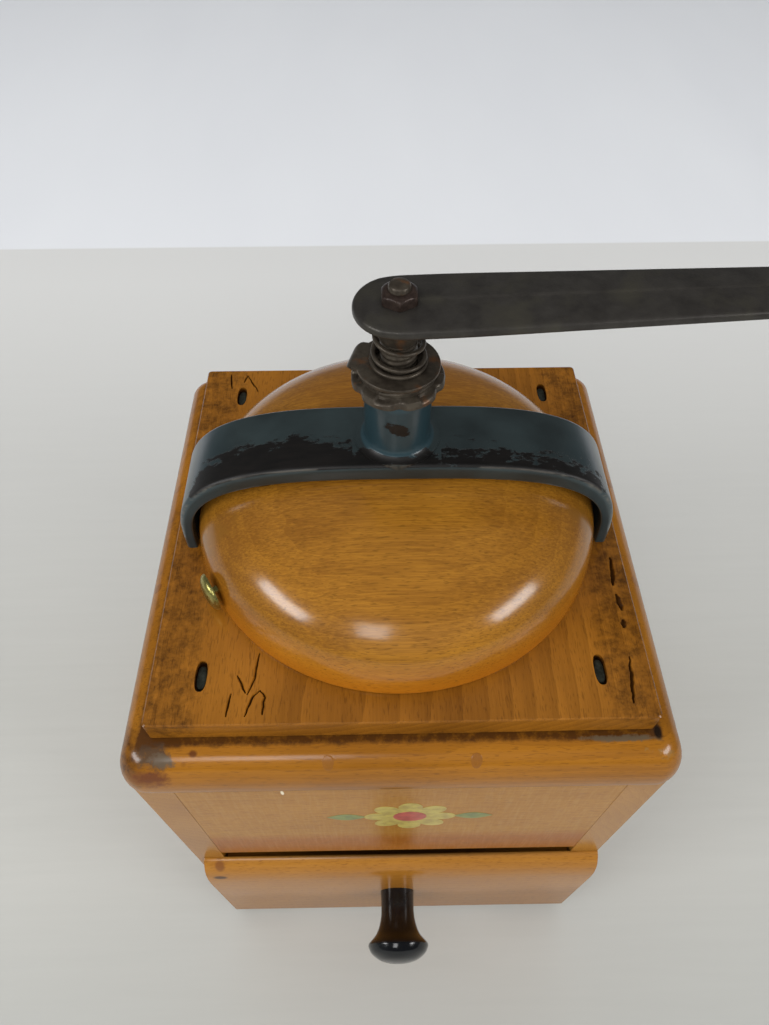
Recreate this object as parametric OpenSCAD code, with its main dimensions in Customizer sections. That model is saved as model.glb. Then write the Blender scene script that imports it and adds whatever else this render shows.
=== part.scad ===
// Box coffee mill: a beech box with a drawer, a turned dome that closes the hopper,
// an iron strap over the dome, and a crank that turns a cone burr inside a fixed ring.
// Z = 0 is the floor under the middle of the box, and the drawer opens towards -Y.

/* [Box] */
// Width of the box, side to side
box_w = 115; // [106:1:135]
// Depth of the box, front to back
box_d = 115; // [106:1:135]
// Thickness of the walls
wall_t = 8.2; // [6:0.1:11]
// Radius of the box's upright corners
corner_r = 0.8; // [0.5:0.1:3]
// Height of the walls
wall_h = 120; // [112:1:140]
// Thickness of the base board
base_t = 6; // [4:0.5:10]
// Height of the drawer bay, from the base board to the front panel
bay_h = 61; // [50:1:64]

/* [Top boards] */
// Thickness of the moulded plate that closes the box
plate_t = 14; // [10:0.5:18]
// Width that the plate stands out over the walls, at each side
plate_over = 1.5; // [0.5:0.1:3]
// Width of the plate's upper rounding, seen from above
round_w = 7; // [5:0.5:8]
// Radius of the plate's corners, seen from above
plate_corner_r = 5.5; // [4:0.5:8]
// Width of the plate's flat rim round the top board
board_rim = 0.5; // [0.2:0.1:2]
// Thickness of the square top board
board_t = 6.4; // [4:0.2:9]
// Radius of the hopper hole through both boards
hopper_r = 24; // [20:0.5:26]

/* [Nails] */
// Distance from the top board's edges to the middles of its oval nails
board_nail_inset = 10.5; // [8:0.5:13]
// Length of an oval nail head
oval_l = 6.2; // [4:0.2:8]
// Width of an oval nail head
oval_w = 2.8; // [2:0.1:4]
// Depth of an oval nail head below the surface
oval_sink = 0.8; // [0.2:0.1:2]
// Diameter of the round nails
nail_d = 2.2; // [1.5:0.1:3]
// Width of a round nail's head outside its shank
nail_rim = 0.9; // [0.5:0.1:1.2]
// Thickness of a nail head
nail_head_h = 1; // [0.6:0.1:1.5]
// Length of the round nails
nail_l = 26; // [20:1:34]
// Distance between the two round nails on one side
nail_gap = 30; // [24:1:80]
// Distance from the walls' outer faces to the plate's nails
nail_edge = 2.6; // [2.2:0.1:4]

/* [Dome] */
// Radius of the dome at its foot
dome_r = 45.8; // [43:0.1:47]
// Height of the dome
dome_h = 23; // [19:0.5:30]
// Thickness of the dome's wall
dome_wall = 8; // [6:0.5:9]
// Fullness of the dome's outline: 2 is an ellipse, more is squarer
dome_full = 2.65; // [2.2:0.05:3]
// Width of the filling slot
slot_w = 15; // [11:0.5:16]
// Length of the filling slot
slot_l = 26; // [18:0.5:28]
// Distance from the shaft to the slot's near end
slot_in = 9; // [7:0.5:10]
// Diameter of the tack that the dome is turned by
tack_d = 8.4; // [6:0.1:9]
// Height of the tack's head
tack_h = 1.9; // [1.2:0.1:3]
// Height of the tack's middle above the top board
tack_z = 5.2; // [4.8:0.1:8]
// Turn of the tack in front of the strap's left leg, in degrees
tack_turn = 31; // [20:0.5:80]

/* [Strap] */
// Width of the strap
strap_w = 18; // [17:0.5:22]
// Thickness of the strap over the dome
strap_t = 4.3; // [3:0.1:6]
// Thickness of the strap's legs
leg_t = 2.6; // [2:0.1:3.4]
// Thickness that the tenons lack at each side
tenon_step = 0.3; // [0.2:0.05:0.6]
// Fullness of the strap's outline, at least the dome's
strap_full = 3.2; // [3:0.05:4]
// Diameter of the boss
boss_d = 13.5; // [11.5:0.1:16]
// Height of the boss above the strap
boss_h = 14.5; // [8:0.1:18]
// Radius of the fillet at the boss's foot
boss_fillet = 2.2; // [1:0.1:4]
// Width of the tenons under the legs
tenon_w = 12; // [8:0.5:15]
// Side of the square washers that the tenons are riveted over
washer_s = 17; // [16:0.5:20]
// Thickness of those washers
washer_t = 1.5; // [1:0.1:3]

/* [Burrs] */
// Outside radius of the fixed burr ring
ring_r = 20; // [18:0.5:22]
// Height of the fixed burr ring
ring_h = 17; // [14:0.5:20]
// Thickness of the ring at its lower edge
ring_wall = 3.6; // [3:0.1:5]
// Depth of the ring's teeth
tooth = 1.1; // [0.6:0.1:1.6]
// Number of teeth in the ring
ring_teeth = 18; // [12:1:24]
// Number of teeth on the cone
cone_teeth = 9; // [6:1:12]
// Gap between cone and ring at the lower edge
grind_gap = 0.4; // [0.3:0.05:0.8]
// Height of the cone
cone_h = 19.5; // [16:0.5:22]
// Height of the cone's foot above the ring's foot
cone_rise = 2.5; // [1:0.5:4]
// Radius of the cone at its top
cone_top = 8; // [6.5:0.1:9]
// Height of the housing below its flange
housing_h = 32; // [28:0.5:38]
// Wall of the housing round the ring
housing_wall = 4; // [3:0.1:6]
// Thickness of the housing's flange
flange_t = 4; // [3:0.1:6]
// Width of the flange outside the hopper hole
flange_seat = 10; // [9:0.5:12]
// Radius that the ring is seated on in the housing
ring_seat = 3; // [2:0.1:4]
// Widening of the ring's mouth over its lower edge
ring_mouth = 1.4; // [0.8:0.1:2]
// Diameter of the cross pin that turns the cone
burr_pin_d = 2.5; // [2:0.1:3]
// Length of the cross pin outside the shaft, at each side
burr_pin_reach = 4; // [2:0.5:4.5]
// Height of the cross pin above the cone's foot
burr_pin_rise = 5; // [4:0.5:8]
// Diameter of the wood screws
screw_d = 3.5; // [2.5:0.1:4]
// Thickness of the wood left over the wood screws
screw_skin = 4; // [2:0.5:6]
// Thickness of the funnel's sheet
sheet_t = 0.6; // [0.4:0.1:1]
// Width of the funnel's rim on the top board
rim_w = 8; // [5:0.5:10]

/* [Lower bridge] */
// Width of the bridge bar
bar_w = 13; // [10:0.5:15]
// Thickness of the bridge bar
bar_t = 4; // [3:0.1:5]
// Diameter of the bearing boss
bearing_d = 14; // [11:0.5:15]
// Height of the bearing boss below the bar
bearing_h = 6; // [4:0.5:8]
// Radius of the lugs that the bar is screwed to
lug_r = 5.5; // [4.5:0.1:6.5]
// Diameter of the bar's screws
bolt_d = 4; // [3:0.1:4.5]
// Length of the bar's screws in the lugs
bolt_l = 12; // [8:0.5:20]

/* [Shaft and adjuster] */
// Diameter of the shaft
shaft_d = 7; // [6:0.1:8]
// Square on the shaft's top end
square_s = 4.8; // [4.2:0.1:5.2]
// Diameter of the threaded stub for the crank nut
stub_d = 4; // [3:0.1:4.2]
// Length of the shaft below the lower bearing
tail_l = 2; // [1:0.5:5]
// Diameter of the adjusting nut, over its lobes
nut_d = 18; // [17:0.2:21]
// Height of the adjusting nut's lobed flange
lobe_h = 2.5; // [1.5:0.1:5]
// Height of its stepped crown
crown_h = 1.5; // [1:0.1:3.5]
// Number of lobes and steps
nut_lobes = 6; // [5:1:8]
// Diameter of the locking plate
lock_d = 16; // [15:0.2:17]
// Thickness of the locking plate
lock_t = 0.9; // [0.6:0.1:1.5]
// Width of the locking plate's finger tab
tab_w = 8; // [4:0.5:10]
// Width that the tab stands out past the nut, and turns down over it
tab_out = 1; // [0.6:0.1:2]
// Turn of the tab from +X, in degrees
tab_turn = 163; // [120:1:200]
// Length of the free spring between locking plate and crank
spring_l = 11.6; // [9:0.1:18]
// Diameter of the spring's wire
wire_d = 0.9; // [0.6:0.1:1.1]
// Outside diameter of the spring at its foot
spring_d = 10.8; // [10:0.1:12]
// Outside diameter of the spring at its top
spring_top_d = 9.4; // [9.2:0.1:11]
// Turns of the spring
spring_turns = 3; // [2:0.5:6]

/* [Crank] */
// Distance from the shaft to the grip
crank_l = 122; // [100:1:140]
// Thickness of the crank arm
arm_t = 2.3; // [1.8:0.1:4]
// Width of the arm at its widest
arm_w = 16.4; // [13:0.1:18]
// Distance from the shaft to where the arm is at its widest
arm_neck = 15; // [12:0.5:24]
// Width of the arm next to the grip
arm_tip_w = 10.4; // [8:0.1:12]
// Radius of the eye round the shaft
eye_r = 8.3; // [6.5:0.1:9.5]
// Radius of the eye under the grip
tip_r = 6; // [5.5:0.1:8]
// Turn of the crank at rest, in degrees from +X
crank_turn = 2.6; // [0:0.2:10]
// Width of the crank nut over its flats
hex_s = 6.2; // [5.6:0.1:8]
// Height of the crank nut
hex_h = 2.6; // [1.8:0.1:5]

/* [Grip] */
// Height of the wooden grip
grip_h = 36; // [28:1:44]
// Largest diameter of the grip
grip_d = 24; // [18:0.5:28]
// Diameter of the grip's pin
pin_d = 4.6; // [3.5:0.1:5.5]
// Diameter of the washers under and over the grip
grip_washer_d = 10; // [8:0.5:11]

/* [Drawer] */
// Thickness of the drawer front that stands out of the box
lip_t = 4.5; // [3:0.1:8]
// Width that the front lacks at each side
lip_step = 1.5; // [0:0.1:4]
// Distance that the front sits to the right of the middle
lip_shift = 1; // [-1.5:0.1:1.5]
// Height of the front's lower edge above the floor
lip_low = 3.5; // [1:0.1:4]
// Gap over the front's upper edge
lip_gap = 5; // [2:0.1:8]
// Height of the front's rounded upper edge
lip_round = 6.3; // [2:0.1:10]
// Thickness of the drawer's tongue, back and sides
drawer_t = 6; // [4:0.5:8]
// Thickness of the drawer's floor
floor_t = 3; // [2:0.5:5]
// Diameter of the drawer's nails
drawer_nail_d = 1.6; // [1.2:0.1:2.4]
// Play between the drawer and the bay's sides
drawer_play = 0.5; // [0.3:0.1:1.2]
// Length of the knob
knob_l = 19.5; // [14:0.5:24]
// Diameter of the knob's rim
knob_d = 18; // [14:0.5:24]
// Diameter of the knob's neck
neck_d = 10.3; // [8:0.1:12]
// Diameter of the knob's screw
knob_screw_d = 3.2; // [2.5:0.1:4]

/* [Clearances] */
// Radial clearance of a shaft in its bearing
run_fit = 0.06; // [0.02:0.01:0.1]
// Radial clearance of a nail, screw or pin in its hole
hole_fit = 0.05; // [0.02:0.01:0.1]
// Space between faces that slide on each other
slide_gap = 0.2; // [0.1:0.05:0.4]
// Space between the dome and the strap or shaft
dome_gap = 0.3; // [0.2:0.05:0.6]

/* [Hidden] */
$fn = 64;
eps = 0.01;

beech = "#b9842f";
beech_dark = "#9a6424";
enamel = "#23343a";
dark_steel = "#3a3733";
cast_iron = "#4a4a4a";

// Heights, from the floor up
z_plate = base_t + wall_h;
z_board = z_plate + plate_t;
z_top = z_board + board_t;
z_dome = z_top + slide_gap;
z_crown = z_dome + dome_h;
z_strap = z_crown + dome_gap + strap_t;
z_boss = z_strap + boss_h;
z_nut = z_boss + slide_gap;
z_lock = z_nut + lobe_h + crown_h;
z_spring = z_lock + lock_t;
z_arm = z_spring + spring_l;
z_arm_top = z_arm + arm_t;
z_burr_foot = z_plate - housing_h;
z_cone = z_burr_foot + cone_rise;
z_tail = z_burr_foot - bar_t - bearing_h - tail_l;

// Box
bay_w = box_w - 2 * wall_t;
plate_w = box_w + 2 * plate_over;
plate_d = box_d + 2 * plate_over;
board_w = plate_w - 2 * (round_w + board_rim);
board_d = plate_d - 2 * (round_w + board_rim);
round_steps = 12;

// Nails: the head is wider than the shank and lies flush
nail_head_r = nail_d / 2 + nail_rim;
oval_shank = 0.6;

// Dome and strap outlines
hollow_r = dome_r - dome_wall;
hollow_h = dome_h - dome_wall;
arch_steps = 20;
arch_r = dome_r + dome_gap;
arch_h = z_crown + dome_gap - z_top;
bore_dome = shaft_d / 2 + dome_gap;
tack_off = 0.9;
tack_shank_r = 0.8;
tack_r_out = dome_r * pow(1 - pow((tack_z - slide_gap) / dome_h, dome_full), 1 / dome_full);
fillet = min(boss_fillet, (strap_w - boss_d) / 2 - 0.05);

// Strap tenons
tenon_t = leg_t - 2 * tenon_step;
tenon_x = arch_r + leg_t / 2;
pocket_gap = 0.2;

// Burr set
throat_r = ring_r - ring_seat;
housing_r = ring_r + housing_wall;
flange_r = hopper_r + flange_seat;
flange_screw_r = hopper_r + flange_seat / 2;
cone_r = ring_r - ring_wall - grind_gap;
ring_top_r = ring_r - ring_wall - ring_mouth;
lug_x = housing_r + lug_r - 1.5;
pin_hole_z = z_cone + burr_pin_rise;
screw_len = plate_t - screw_skin;
funnel_gap = 0.3;

// Drawer
drawer_w = bay_w - 2 * drawer_play;
drawer_low = base_t + slide_gap;
drawer_top = base_t + bay_h - lip_gap;
lip_w = box_w - 2 * lip_step;
y_front = -box_d / 2;
y_face = y_front - lip_t;
y_bay_back = box_d / 2 - wall_t;
y_drawer_back = y_bay_back - 0.8;
knob_z = (lip_low + drawer_top) / 2;
side_low = drawer_low + floor_t;
rack_h = drawer_top - 2 - side_low;

// ---------------------------------------------------------------- shapes used more than once

// Quarter of a superellipse: from [r, 0] up to [0, h], fuller as n grows
function arch(r, h, n, steps) = [
    for (i = [0:steps]) let (a = 90 * i / steps)
        [r * pow(abs(cos(a)), 2 / n), h * pow(abs(sin(a)), 2 / n)]
];
function flip(points) = [for (i = [len(points) - 1:-1:0]) [-points[i][0], points[i][1]]];

// Plate edge: a quarter ellipse from the wall's face out to half the height, and a wider
// one from there up to the flat top
function edge_curve(w) = concat(
    [for (i = [0:round_steps]) let (a = -90 + 90 * i / round_steps)
        [w / 2 - plate_over + plate_over * cos(a), plate_t / 2 * (1 + sin(a))]],
    [for (i = [1:round_steps]) let (a = 90 * i / round_steps)
        [w / 2 - round_w + round_w * cos(a), plate_t / 2 * (1 + sin(a))]]);
function plate_section(w) = concat(edge_curve(w), flip(edge_curve(w)));

module rounded_square(w, d, r) {
    square([w - 2 * r, d], center = true);
    square([w, d - 2 * r], center = true);
    for (x = [-1, 1], y = [-1, 1]) translate([x * (w / 2 - r), y * (d / 2 - r)]) circle(r);
}

module slot_2d(l, w) {
    square([l - w, w], center = true);
    for (x = [-1, 1]) translate([x * (l - w) / 2, 0]) circle(w / 2);
}

// Round nail along +Z with its head's top at the origin; grow makes the hole for it
module nail(l, grow = 0) {
    translate([0, 0, -l]) cylinder(r = nail_d / 2 + grow, h = l);
    translate([0, 0, -nail_head_h]) cylinder(r = nail_head_r + grow, h = nail_head_h);
}

// Countersunk screw along +Z with its head's top at the origin
module screw(d, l, grow = 0) {
    translate([0, 0, -l]) cylinder(r = d / 2 + grow, h = l);
    translate([0, 0, -d / 2]) cylinder(r1 = d / 2 + grow, r2 = d + grow, h = d / 2);
}

module at_four(w, d) {
    for (x = [-1, 1], y = [-1, 1]) translate([x * w / 2, y * d / 2, 0]) children();
}

// ---------------------------------------------------------------- box

module base_nail_set(grow = 0) {
    for (x = [-1, 1], y = [-1, 1]) {
        translate([x * (box_w - wall_t) / 2, y * nail_gap / 2, 0]) mirror([0, 0, 1]) nail(nail_l, grow);
    }
}

module base_board() {
    color(beech_dark) difference() {
        linear_extrude(base_t) rounded_square(box_w, box_d, corner_r);
        base_nail_set(hole_fit);
    }
}

module base_nails() {
    color("gray") base_nail_set();
}

module side_wall(side) {
    color(beech) difference() {
        translate([0, 0, base_t]) linear_extrude(wall_h) intersection() {
            rounded_square(box_w, box_d, corner_r);
            translate([side * (box_w - wall_t) / 2, 0]) square([wall_t, box_d], center = true);
        }
        base_nail_set(hole_fit);
        plate_nail_set(hole_fit);
    }
}

module left_wall() {
    side_wall(-1);
}

module right_wall() {
    side_wall(1);
}

module front_panel() {
    color(beech) difference() {
        translate([-bay_w / 2, -box_d / 2, base_t + bay_h]) cube([bay_w, wall_t, wall_h - bay_h]);
        plate_nail_set(hole_fit);
    }
}

module back_wall() {
    color(beech) difference() {
        translate([-bay_w / 2, y_bay_back, base_t]) cube([bay_w, wall_t, wall_h]);
        plate_nail_set(hole_fit);
    }
}

// ---------------------------------------------------------------- top boards

// Nails through the plate's rounding into each wall, their heads just under the surface
module plate_nail_set(grow = 0) {
    inset = plate_over + nail_edge - nail_head_r;
    drop = plate_t / 2 * (1 - sqrt(1 - pow(max(0, round_w - inset) / round_w, 2)));
    for (s = [-1, 1], t = [-1, 1]) {
        translate([s * nail_gap / 2, t * (box_d / 2 - nail_edge), z_board - drop - nail_head_h / 2])
            nail(nail_l, grow);
        translate([t * (box_w / 2 - nail_edge), s * nail_gap / 2, z_board - drop - nail_head_h / 2])
            nail(nail_l, grow);
    }
}

module plate_nails() {
    color("#6b4a22") plate_nail_set();
}

module tenon_holes(z, h) {
    for (x = [-1, 1]) translate([x * tenon_x, 0, z + h / 2])
        cube([tenon_t + 2 * hole_fit, tenon_w + 2 * hole_fit, h], center = true);
}

module top_plate() {
    color(beech) difference() {
        translate([0, 0, z_plate]) intersection() {
            rotate([90, 0, 0]) linear_extrude(plate_d, center = true) polygon(plate_section(plate_w));
            rotate([90, 0, 90]) linear_extrude(plate_w, center = true) polygon(plate_section(plate_d));
            linear_extrude(plate_t) rounded_square(plate_w, plate_d, plate_corner_r);
        }
        translate([0, 0, z_plate - eps]) cylinder(r = hopper_r, h = plate_t + 2 * eps);
        tenon_holes(z_plate - eps, plate_t + 2 * eps);
        for (x = [-1, 1]) translate([x * tenon_x, 0, z_plate])
            cube([washer_s + 2 * pocket_gap, washer_s + 2 * pocket_gap, 2 * washer_t + 2 * pocket_gap],
                 center = true);
        plate_nail_set(hole_fit);
        board_nail_set(hole_fit);
        housing_screw_set(hole_fit);
    }
}

module at_board_nails() {
    at_four(board_w - 2 * board_nail_inset, board_d - 2 * board_nail_inset) children();
}

// Oval nails: a flat oval head sunk below the board's surface, on a round shank
module board_nail_set(grow = 0) {
    at_board_nails() {
        translate([0, 0, z_top - oval_sink - nail_head_h]) linear_extrude(nail_head_h)
            rotate(90) slot_2d(oval_l - oval_shank + 2 * grow, oval_w - oval_shank + 2 * grow);
        translate([0, 0, z_top - oval_sink - nail_head_h - board_t])
            cylinder(r = nail_d / 2 + grow, h = board_t + eps);
    }
}

module board_nails() {
    color("#5d605f") board_nail_set();
}

module top_board() {
    color(beech_dark) difference() {
        translate([0, 0, z_board]) linear_extrude(board_t) square([board_w, board_d], center = true);
        translate([0, 0, z_board - eps]) cylinder(r = hopper_r, h = board_t + 2 * eps);
        tenon_holes(z_board - eps, board_t + 2 * eps);
        board_nail_set(hole_fit);
        at_board_nails()
            translate([0, 0, z_top - oval_sink - nail_head_h]) linear_extrude(board_t)
                rotate(90) slot_2d(oval_l, oval_w);
    }
}

// Sheet funnel: its rim lies on the top board, its spout ends over the housing's throat
module hopper_funnel() {
    spout_r = throat_r - 0.5;
    top_r = hopper_r - funnel_gap;
    color("#9b9c98") rotate_extrude() polygon([
        [spout_r - sheet_t, z_plate + funnel_gap],
        [spout_r, z_plate + funnel_gap],
        [top_r, z_top],
        [hopper_r + rim_w, z_top],
        [hopper_r + rim_w, z_top + sheet_t],
        [top_r - sheet_t, z_top + sheet_t]
    ]);
}

// ---------------------------------------------------------------- dome

module dome_shell() {
    translate([0, 0, z_dome]) rotate_extrude($fn = 96) difference() {
        polygon(concat([[0, 0]], arch(dome_r, dome_h, dome_full, arch_steps)));
        polygon(concat([[0, -eps], [hollow_r, -eps]], arch(hollow_r, hollow_h, dome_full, 12)));
    }
}

module dome() {
    color(beech) difference() {
        dome_shell();
        translate([0, 0, z_dome]) cylinder(r = bore_dome, h = dome_h + 1);
        translate([-slot_in - slot_l / 2, 0, z_dome]) linear_extrude(dome_h + 1) slot_2d(slot_l, slot_w);
        tack_place() rotate([0, -90, 0]) cylinder(r = tack_shank_r + hole_fit, h = dome_wall - 1.5);
    }
}

// Puts its children on the dome's side at the tack, with +X pointing outwards
module tack_place() {
    rotate([0, 0, 180 + tack_turn]) translate([tack_r_out + tack_off, 0, z_top + tack_z]) children();
}

module dome_tack() {
    color("#b5b878") tack_place() rotate([0, 90, 0]) {
        translate([0, 0, 2 - dome_wall]) cylinder(r = tack_shank_r, h = dome_wall - 2);
        rotate_extrude() polygon(concat([[0, 0]], arch(tack_d / 2, tack_h, 2, 8)));
    }
}

// ---------------------------------------------------------------- strap

module strap_arch() {
    outer = arch(arch_r + leg_t, arch_h + strap_t, strap_full, arch_steps);
    inner = arch(arch_r, arch_h, strap_full, arch_steps);
    translate([0, 0, z_top]) rotate([90, 0, 0]) linear_extrude(strap_w, center = true)
        polygon(concat(outer, flip(outer), [for (i = [0:arch_steps]) [-inner[i][0], inner[i][1]]],
                       [for (i = [arch_steps:-1:0]) inner[i]]));
}

module strap() {
    color(enamel) difference() {
        union() {
            strap_arch();
            rotate_extrude() difference() {
                translate([0, z_strap - strap_t / 2]) square([boss_d / 2 + fillet, boss_h + strap_t / 2]);
                translate([boss_d / 2 + fillet, z_strap + fillet]) circle(fillet, $fn = 48);
                translate([boss_d / 2, z_strap + fillet]) square([fillet + 1, boss_h]);
            }
            for (x = [-1, 1]) translate([x * tenon_x, 0, z_plate + (z_top - z_plate) / 2])
                cube([tenon_t, tenon_w, z_top - z_plate], center = true);
        }
        translate([0, 0, z_crown]) cylinder(r = shaft_d / 2 + run_fit, h = z_boss - z_crown + 1);
    }
}

// Square washers in pockets under the plate
module strap_washers() {
    color(dark_steel) for (x = [-1, 1]) translate([x * tenon_x, 0, z_plate]) difference() {
        translate([-washer_s / 2, -washer_s / 2, 0]) cube([washer_s, washer_s, washer_t]);
        cube([tenon_t + 2 * hole_fit, tenon_w + 2 * hole_fit, 3 * washer_t], center = true);
    }
}

// ---------------------------------------------------------------- burrs

module housing_screw_set(grow = 0) {
    for (i = [0:3]) rotate([0, 0, 45 + 90 * i]) translate([flange_screw_r, 0, z_plate - flange_t])
        mirror([0, 0, 1]) screw(screw_d, flange_t + screw_len, grow);
}

module housing_screws() {
    color("silver") housing_screw_set();
}

module bridge_screw_set(grow = 0) {
    for (x = [-1, 1]) translate([x * lug_x, 0, z_burr_foot - bar_t])
        mirror([0, 0, 1]) screw(bolt_d, bar_t + bolt_l, grow);
}

module bridge_screws() {
    color("silver") bridge_screw_set();
}

module burr_housing() {
    color(cast_iron) difference() {
        union() {
            translate([0, 0, z_plate - flange_t]) cylinder(r = flange_r, h = flange_t);
            translate([0, 0, z_burr_foot]) cylinder(r = housing_r, h = housing_h);
            for (x = [-1, 1]) translate([x * lug_x, 0, z_burr_foot]) cylinder(r = lug_r, h = housing_h);
        }
        translate([0, 0, z_burr_foot - 1]) cylinder(r = throat_r, h = housing_h + 2);
        translate([0, 0, z_burr_foot - 1]) cylinder(r = ring_r + hole_fit, h = ring_h + 1 + hole_fit);
        housing_screw_set(hole_fit);
        bridge_screw_set(hole_fit);
    }
}

// Fixed ring: nearly straight inside, with upright grooves between its teeth
module outer_burr() {
    color("#6a6a6a") translate([0, 0, z_burr_foot]) difference() {
        cylinder(r = ring_r, h = ring_h);
        translate([0, 0, -eps]) cylinder(r1 = cone_r + grind_gap, r2 = ring_top_r, h = ring_h + 2 * eps);
        for (i = [0:ring_teeth - 1]) rotate([0, 0, 360 * i / ring_teeth])
            translate([cone_r + grind_gap, 0, ring_h / 2]) rotate([0, 0, 45])
                cube([tooth * 1.3, tooth * 1.3, ring_h + 1], center = true);
    }
}

// Turning cone: slanted grooves that draw the beans down to the narrow gap
module inner_burr() {
    slope = atan((cone_r - cone_top) / cone_h);
    color("#777777") difference() {
        translate([0, 0, z_cone]) cylinder(r1 = cone_r, r2 = cone_top, h = cone_h);
        translate([0, 0, z_cone - 1]) cylinder(r = shaft_d / 2 + hole_fit, h = cone_h + 2);
        for (i = [0:cone_teeth - 1]) rotate([0, 0, 360 * i / cone_teeth])
            translate([(cone_r + cone_top) / 2, 0, z_cone + cone_h / 2])
                rotate([0, -slope, 0]) rotate([20, 0, 0]) rotate([0, 0, 45])
                    cube([tooth * 1.6, tooth * 1.6, cone_h * 1.6], center = true);
        burr_pin_hole(hole_fit, cone_r);
    }
}

module burr_pin_hole(grow, reach) {
    translate([0, 0, pin_hole_z]) rotate([0, 90, 0])
        cylinder(r = burr_pin_d / 2 + grow, h = 2 * reach, center = true);
}

module burr_pin() {
    color("silver") burr_pin_hole(0, shaft_d / 2 + burr_pin_reach);
}

module lower_bridge() {
    color(cast_iron) difference() {
        union() {
            translate([0, 0, z_burr_foot - bar_t]) linear_extrude(bar_t)
                slot_2d(2 * lug_x + bar_w, bar_w);
            translate([0, 0, z_burr_foot - bar_t - bearing_h])
                cylinder(d = bearing_d, h = bar_t + bearing_h);
        }
        translate([0, 0, z_tail]) cylinder(r = shaft_d / 2 + run_fit, h = z_burr_foot - z_tail + 1);
        bridge_screw_set(hole_fit);
    }
}

// ---------------------------------------------------------------- shaft and adjuster

module drive_shaft() {
    color("#6f665a") difference() {
        union() {
            translate([0, 0, z_tail]) cylinder(d = shaft_d, h = z_arm - z_tail);
            translate([0, 0, z_arm + arm_t / 2 - 0.5])
                cube([square_s, square_s, arm_t + 1 - 2 * hole_fit], center = true);
            translate([0, 0, z_arm]) cylinder(d = stub_d, h = arm_t + hex_h + 1);
        }
        burr_pin_hole(hole_fit, shaft_d);
    }
}

// Lobed nut with a saw-toothed crown that the locking plate lies on
module adjusting_nut() {
    lobe_bite = nut_d * 0.11;
    crown_r = lock_d / 2 - 0.6;
    cut_w = crown_r * 0.55;
    color("#4a4238") difference() {
        union() {
            translate([0, 0, z_nut]) linear_extrude(lobe_h) difference() {
                circle(d = nut_d);
                for (i = [0:nut_lobes - 1]) rotate(360 * (i + 0.5) / nut_lobes)
                    translate([nut_d / 2 + lobe_bite * 0.4, 0]) circle(lobe_bite);
            }
            translate([0, 0, z_nut + lobe_h / 2]) cylinder(r = crown_r, h = lobe_h / 2 + crown_h);
        }
        translate([0, 0, z_nut - 1]) cylinder(r = shaft_d / 2 + run_fit, h = lobe_h + crown_h + 2);
        for (i = [0:nut_lobes - 1]) rotate([0, 0, 360 * i / nut_lobes])
            translate([shaft_d / 2 + 1.2, -cut_w / 2, z_nut + lobe_h + crown_h * 0.35])
                rotate([20, 0, 0]) cube([crown_r, cut_w, crown_h * 2]);
    }
}

// Thin plate under the spring, with a finger tab turned down over the nut's side
module locking_plate() {
    tab_r = nut_d / 2 + slide_gap;
    color("#3f3a33") difference() {
        union() {
            translate([0, 0, z_lock]) cylinder(d = lock_d, h = lock_t);
            rotate([0, 0, tab_turn]) translate([0, -tab_w / 2, z_lock])
                cube([tab_r + tab_out, tab_w, lock_t]);
            rotate([0, 0, tab_turn]) translate([tab_r, -tab_w / 2, z_lock - tab_out])
                cube([tab_out, tab_w, tab_out + lock_t]);
        }
        translate([0, 0, z_lock - 1]) cylinder(r = shaft_d / 2 + run_fit, h = lock_t + 2);
    }
}

// Spring: a round wire swept along a cone-shaped helix that touches plate and crank
module crank_spring() {
    sides = 8;
    per_turn = 20;
    rings = spring_turns * per_turn;
    low_r = (spring_d - wire_d) / 2;
    top_r = (spring_top_d - wire_d) / 2;
    rise = spring_l - wire_d - 2 * hole_fit;
    points = [for (i = [0:rings], j = [0:sides - 1])
        let (t = i / rings, a = 360 * i / per_turn, b = 360 * j / sides,
             r = low_r + (top_r - low_r) * t + wire_d / 2 * cos(b))
            [r * cos(a), r * sin(a), z_spring + hole_fit + wire_d / 2 + rise * t + wire_d / 2 * sin(b)]];
    walls = [for (i = [0:rings - 1], j = [0:sides - 1]) let (k = (j + 1) % sides)
        [i * sides + j, (i + 1) * sides + j, (i + 1) * sides + k, i * sides + k]];
    ends = [[for (j = [0:sides - 1]) j], [for (j = [sides - 1:-1:0]) rings * sides + j]];
    color("#5c5347") polyhedron(points, concat(walls, ends));
}

// ---------------------------------------------------------------- crank and grip

module crank_arm() {
    color(dark_steel) rotate([0, 0, crank_turn]) translate([0, 0, z_arm]) linear_extrude(arm_t)
        difference() {
            union() {
                circle(eye_r);
                translate([crank_l, 0]) circle(tip_r);
                polygon([[0, -eye_r], [arm_neck, -arm_w / 2], [crank_l, -arm_tip_w / 2],
                         [crank_l, arm_tip_w / 2], [arm_neck, arm_w / 2], [0, eye_r]]);
            }
            rotate(-crank_turn) square(square_s + 2 * hole_fit, center = true);
            translate([crank_l, 0]) circle(pin_d / 2 + hole_fit);
        }
}

module crank_nut() {
    color("#4c3228") translate([0, 0, z_arm_top]) difference() {
        intersection() {
            cylinder(d = hex_s / cos(30), h = hex_h, $fn = 6);
            translate([0, 0, hex_h - hex_s * 1.1]) sphere(hex_s * 1.1);
        }
        translate([0, 0, -1]) cylinder(r = stub_d / 2 + hole_fit, h = hex_h + 2);
    }
}

grip_seat = 1;
z_grip = z_arm_top + grip_seat + slide_gap;
pin_top = z_grip + grip_h + grip_seat + slide_gap + 1.2;

module at_grip() {
    rotate([0, 0, crank_turn]) translate([crank_l, 0, 0]) children();
}

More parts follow.
